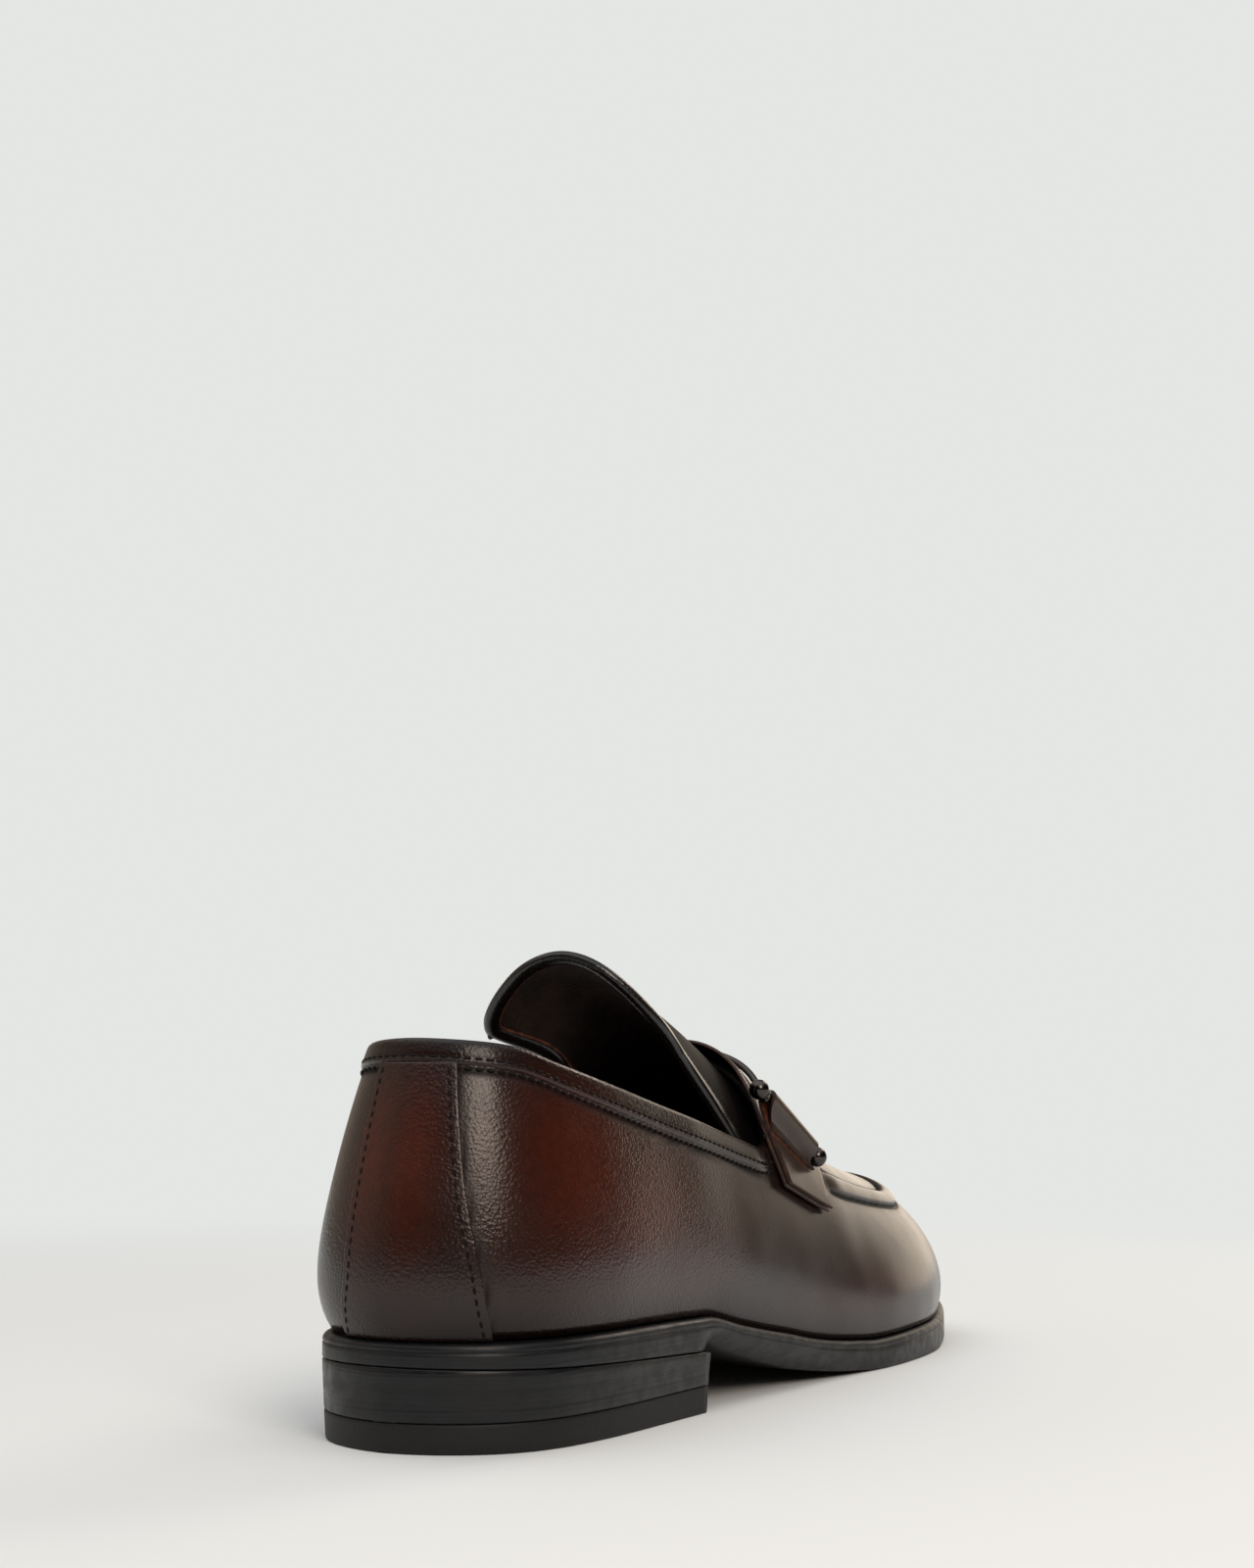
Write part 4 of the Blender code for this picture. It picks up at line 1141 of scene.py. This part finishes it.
def make_outsole():
    """Leather sole: a rounded welt edge over a grooved line, an upright edge and a bevelled waist."""
    bevel = WAIST_BEVEL * smooth(EDGE, station_of(sole_ring()[0]) / LENGTH, 2)
    slope = WELT_SLOPE * 2
    wall = raised(feather, -WELT_DEPTH)
    profile = [(share, slope, feather) for share in (0, 0.4, 0.8, 0.97, 1)]
    for turn in np.radians([18, 36, 54, 72, 90]):
        depth = WELT_DEPTH * 0.8 * (1 - math.cos(turn))
        profile.append((1, slope * (1 - math.sin(turn)), raised(feather, -depth)))
    profile += [(1, 0.0002, raised(feather, -WELT_DEPTH * 0.92)), (1, 0.0004, wall),
                (1, 0.0002 + bevel * 0.02, between(wall, tread, 0.04))]
    profile += [(1, bevel * down ** 1.6, between(wall, tread, down))
                for down in (0.1, 0.25, 0.4, 0.55, 0.7, 0.82, 0.9)]
    profile += [(1, 0.0003 + bevel * 0.93, between(wall, tread, 0.96)),
                (1, 0.0009 + bevel, between(wall, tread, 0.995))]
    profile += [(share, 0.0012 + bevel, tread) for share in (1, 0.95, 0.7, 0.4, 0)]
    skin_of_sole = closed_skin(sole_rows(profile))
    piece("outsole_leather", skin_of_sole, (sole_edge_finish,), ("outsole",))


def make_insole():
    inset = FEATHER_INSET + WALL + GAP
    foot = raised(feather, GAP)
    profile = [(share, inset, foot) for share in (0, 0.5, 1)]
    profile += [(1, inset + more, raised(foot, INSOLE_THICKNESS - down))
                for down, more in ((0.0008, 0.0), (0.0003, 0.0002), (0.0, 0.0008))]
    profile += [(share, inset + 0.0008, raised(foot, INSOLE_THICKNESS)) for share in (0.9, 0.7, 0.4, 0)]
    piece("insole_sock", closed_skin(sole_rows(profile)), (sock,), ("insole",))


def heel_rows(profile):
    """Rings round a layer of the heel, cut off at the breast."""
    angles = np.linspace(0, float(angle_of((HEEL_LENGTH + GAP) / LENGTH)), 60)
    rows = []
    for share, inset, height in profile:
        right = sole_edge(angles, -1.0, inset)[0]
        left = sole_edge(angles, 1.0, inset)[0]
        right[-1, 0] = left[-1, 0] = HEEL_LENGTH - min(inset, 0.0004)
        middle = (right + left) / 2
        breast = np.linspace(0, 1, 12)[1:-1, None]
        across = right[-1] + (left[-1] - right[-1]) * breast
        plan = np.concatenate([right, across, left[::-1]])
        core = np.concatenate([middle, np.repeat(middle[-1:], len(across), axis=0), middle[::-1]])
        rows.append(ring(plan, core, share, height))
    rows = np.array(rows)
    return np.concatenate([rows, rows[:, :1]], axis=1)


def layer_profile(low, high, taper_low, taper_high, grooves):
    """An upright edge with a softened foot and head and fine grooves between its layers."""
    profile = [(0, taper_low, low), (0.6, taper_low, low), (1, taper_low + 0.0003, low),
               (1, taper_low + 0.0001, between(low, high, 0.025))]
    for i in range(grooves + 1):
        start, end = i / (grooves + 1), (i + 1) / (grooves + 1)
        for share in (0.12, 0.5, 0.88):
            at = start + (end - start) * share
            profile.append((1, taper_low + (taper_high - taper_low) * at, between(low, high, at)))
        if i < grooves:
            groove = taper_low + (taper_high - taper_low) * end + 0.00006
            profile.append((1, groove, between(low, high, end)))
    profile += [(1, taper_high + 0.0001, between(low, high, 0.975)), (1, taper_high + 0.0002, high),
                (0.6, taper_high, high), (0, taper_high, high)]
    return profile


def make_heel():
    ground = np.zeros_like
    lift = layer_profile(ground, raised(ground, TOP_LIFT), HEEL_TAPER, HEEL_TAPER * 0.6, 0)
    stack = layer_profile(raised(ground, TOP_LIFT + GAP * 0.4), raised(seat, -GAP * 0.4),
                          HEEL_TAPER * 0.6, 0.0, 2)
    for name, profile, finish, slot in (("heel_top_lift", lift, rubber, "black_rubber"),
                                        ("heel_stack", stack, stack_finish, "black_heel_stack")):
        piece(name + "_edge", closed_skin(heel_rows(profile)), (finish,), (name,))


# The studio

CAMERA_TURN = math.radians(28.40)
CAMERA_TILT = math.radians(6.64)
CAMERA_PLACE = (-0.4443, -0.3015, 0.0853)
CAMERA_LENS = 54.68
WALL_TURN = math.radians(4)        # the bright wall stands before the toe, a little to the left


def make_camera():
    camera = bpy.data.cameras.new("camera")
    camera.lens = CAMERA_LENS
    camera.sensor_width = 36.0
    camera.sensor_fit = "AUTO"
    thing = put("camera", camera)
    thing.location = in_frame(CAMERA_PLACE)
    thing.rotation_euler = (math.pi / 2 + CAMERA_TILT, 0, CAMERA_TURN - math.pi / 2)
    bpy.context.scene.camera = thing


def make_light(name, place, target, width, height, power, colour):
    lamp = bpy.data.lights.new(name, "AREA")
    lamp.shape = "RECTANGLE"
    lamp.size, lamp.size_y = width, height
    lamp.energy = power
    lamp.color = linear(colour)[:3]
    thing = put(name, lamp)
    thing.location = place
    thing.rotation_euler = (Vector(target) - Vector(place)).to_track_quat("-Z", "Y").to_euler()


def make_world():
    """Pale paper for the eye; the light comes from the ceiling, a wall beyond the toe and the left side."""
    world = bpy.data.worlds.new("studio")
    world.use_nodes = True
    tree = world.node_tree
    add = partial(add_node, tree)
    paper = tree.nodes["Background"]
    fill(tree, paper, {"Color": linear(BACKDROP)})
    way = add("TexCoord", {}, {}, "Generated")
    x, y, z = (add("SeparateXYZ", {}, {0: way}, axis) for axis in "XYZ")
    to_wall = (math.cos(WALL_TURN), math.sin(WALL_TURN), 0)
    ahead = add("VectorMath", {"operation": "DOT_PRODUCT"}, {0: way, 1: to_wall}, "Value")
    above = add("Math", TIMES, {0: z, 1: z})
    ahead = add("Math", {"operation": "MULTIPLY_ADD"}, {0: above, 1: -0.3, 2: ahead})
    wall = add("MapRange", SOFT, {0: ahead, 1: 0.865, 2: 0.955, 3: 0.03, 4: 1.60})
    left = add("MapRange", SOFT, {0: y, 1: 0.10, 2: 0.80, 3: 0.0, 4: 0.34})
    ceiling = add("MapRange", SOFT, {0: z, 1: 0.50, 2: 0.95, 3: 0.0, 4: 1.45})
    behind = add("MapRange", SOFT, {0: x, 1: 0.20, 2: 0.60, 3: 1.0, 4: 0.25})
    room = [add("Background", {}, {"Color": linear(colour), "Strength": light})
            for colour, light in (("#f9e9d5", add("Math", PLUS, {0: wall, 1: left})),
                                  ("#eff2f6", add("Math", TIMES, {0: ceiling, 1: behind})))]
    seen = add("LightPath", {}, {}, "Is Camera Ray")
    light = add("AddShader", {}, {0: room[0], 1: room[1]})
    both = add("MixShader", {}, {0: seen, 1: light, 2: paper.outputs[0]})
    fill(tree, tree.nodes["World Output"], {"Surface": both})
    bpy.context.scene.world = world


def make_studio():
    bm = bmesh.new()
    bmesh.ops.create_grid(bm, x_segments=1, y_segments=1, size=6)
    put_mesh("floor", bm, (painted_floor("studio_paper", "#f1f4f4"),))
    make_world()
    make_light("side_softbox", (-0.757, -0.827, 0.795), (-0.10, 0.0, 0.06), 0.52, 0.60, 6.3, "#ffefdf")
    make_light("front_softbox", (1.11, -0.24, 0.88), (0.0, 0.0, 0.08), 0.50, 0.50, 4, "#ffefdf")
    bpy.context.scene.view_settings.view_transform = "Standard"


make_upper()
make_collar_band()
make_heel_strip()
make_upper_stitches()
make_tongue()
make_tongue_binding()
make_strap()
for cheek_side, cheek_word in ((-1.0, "right"), (1.0, "left")):
    make_loop(cheek_side, cheek_word)
    make_cheek(cheek_side, cheek_word)
make_bridge()
make_outsole()
make_insole()
make_heel()
make_studio()
make_camera()
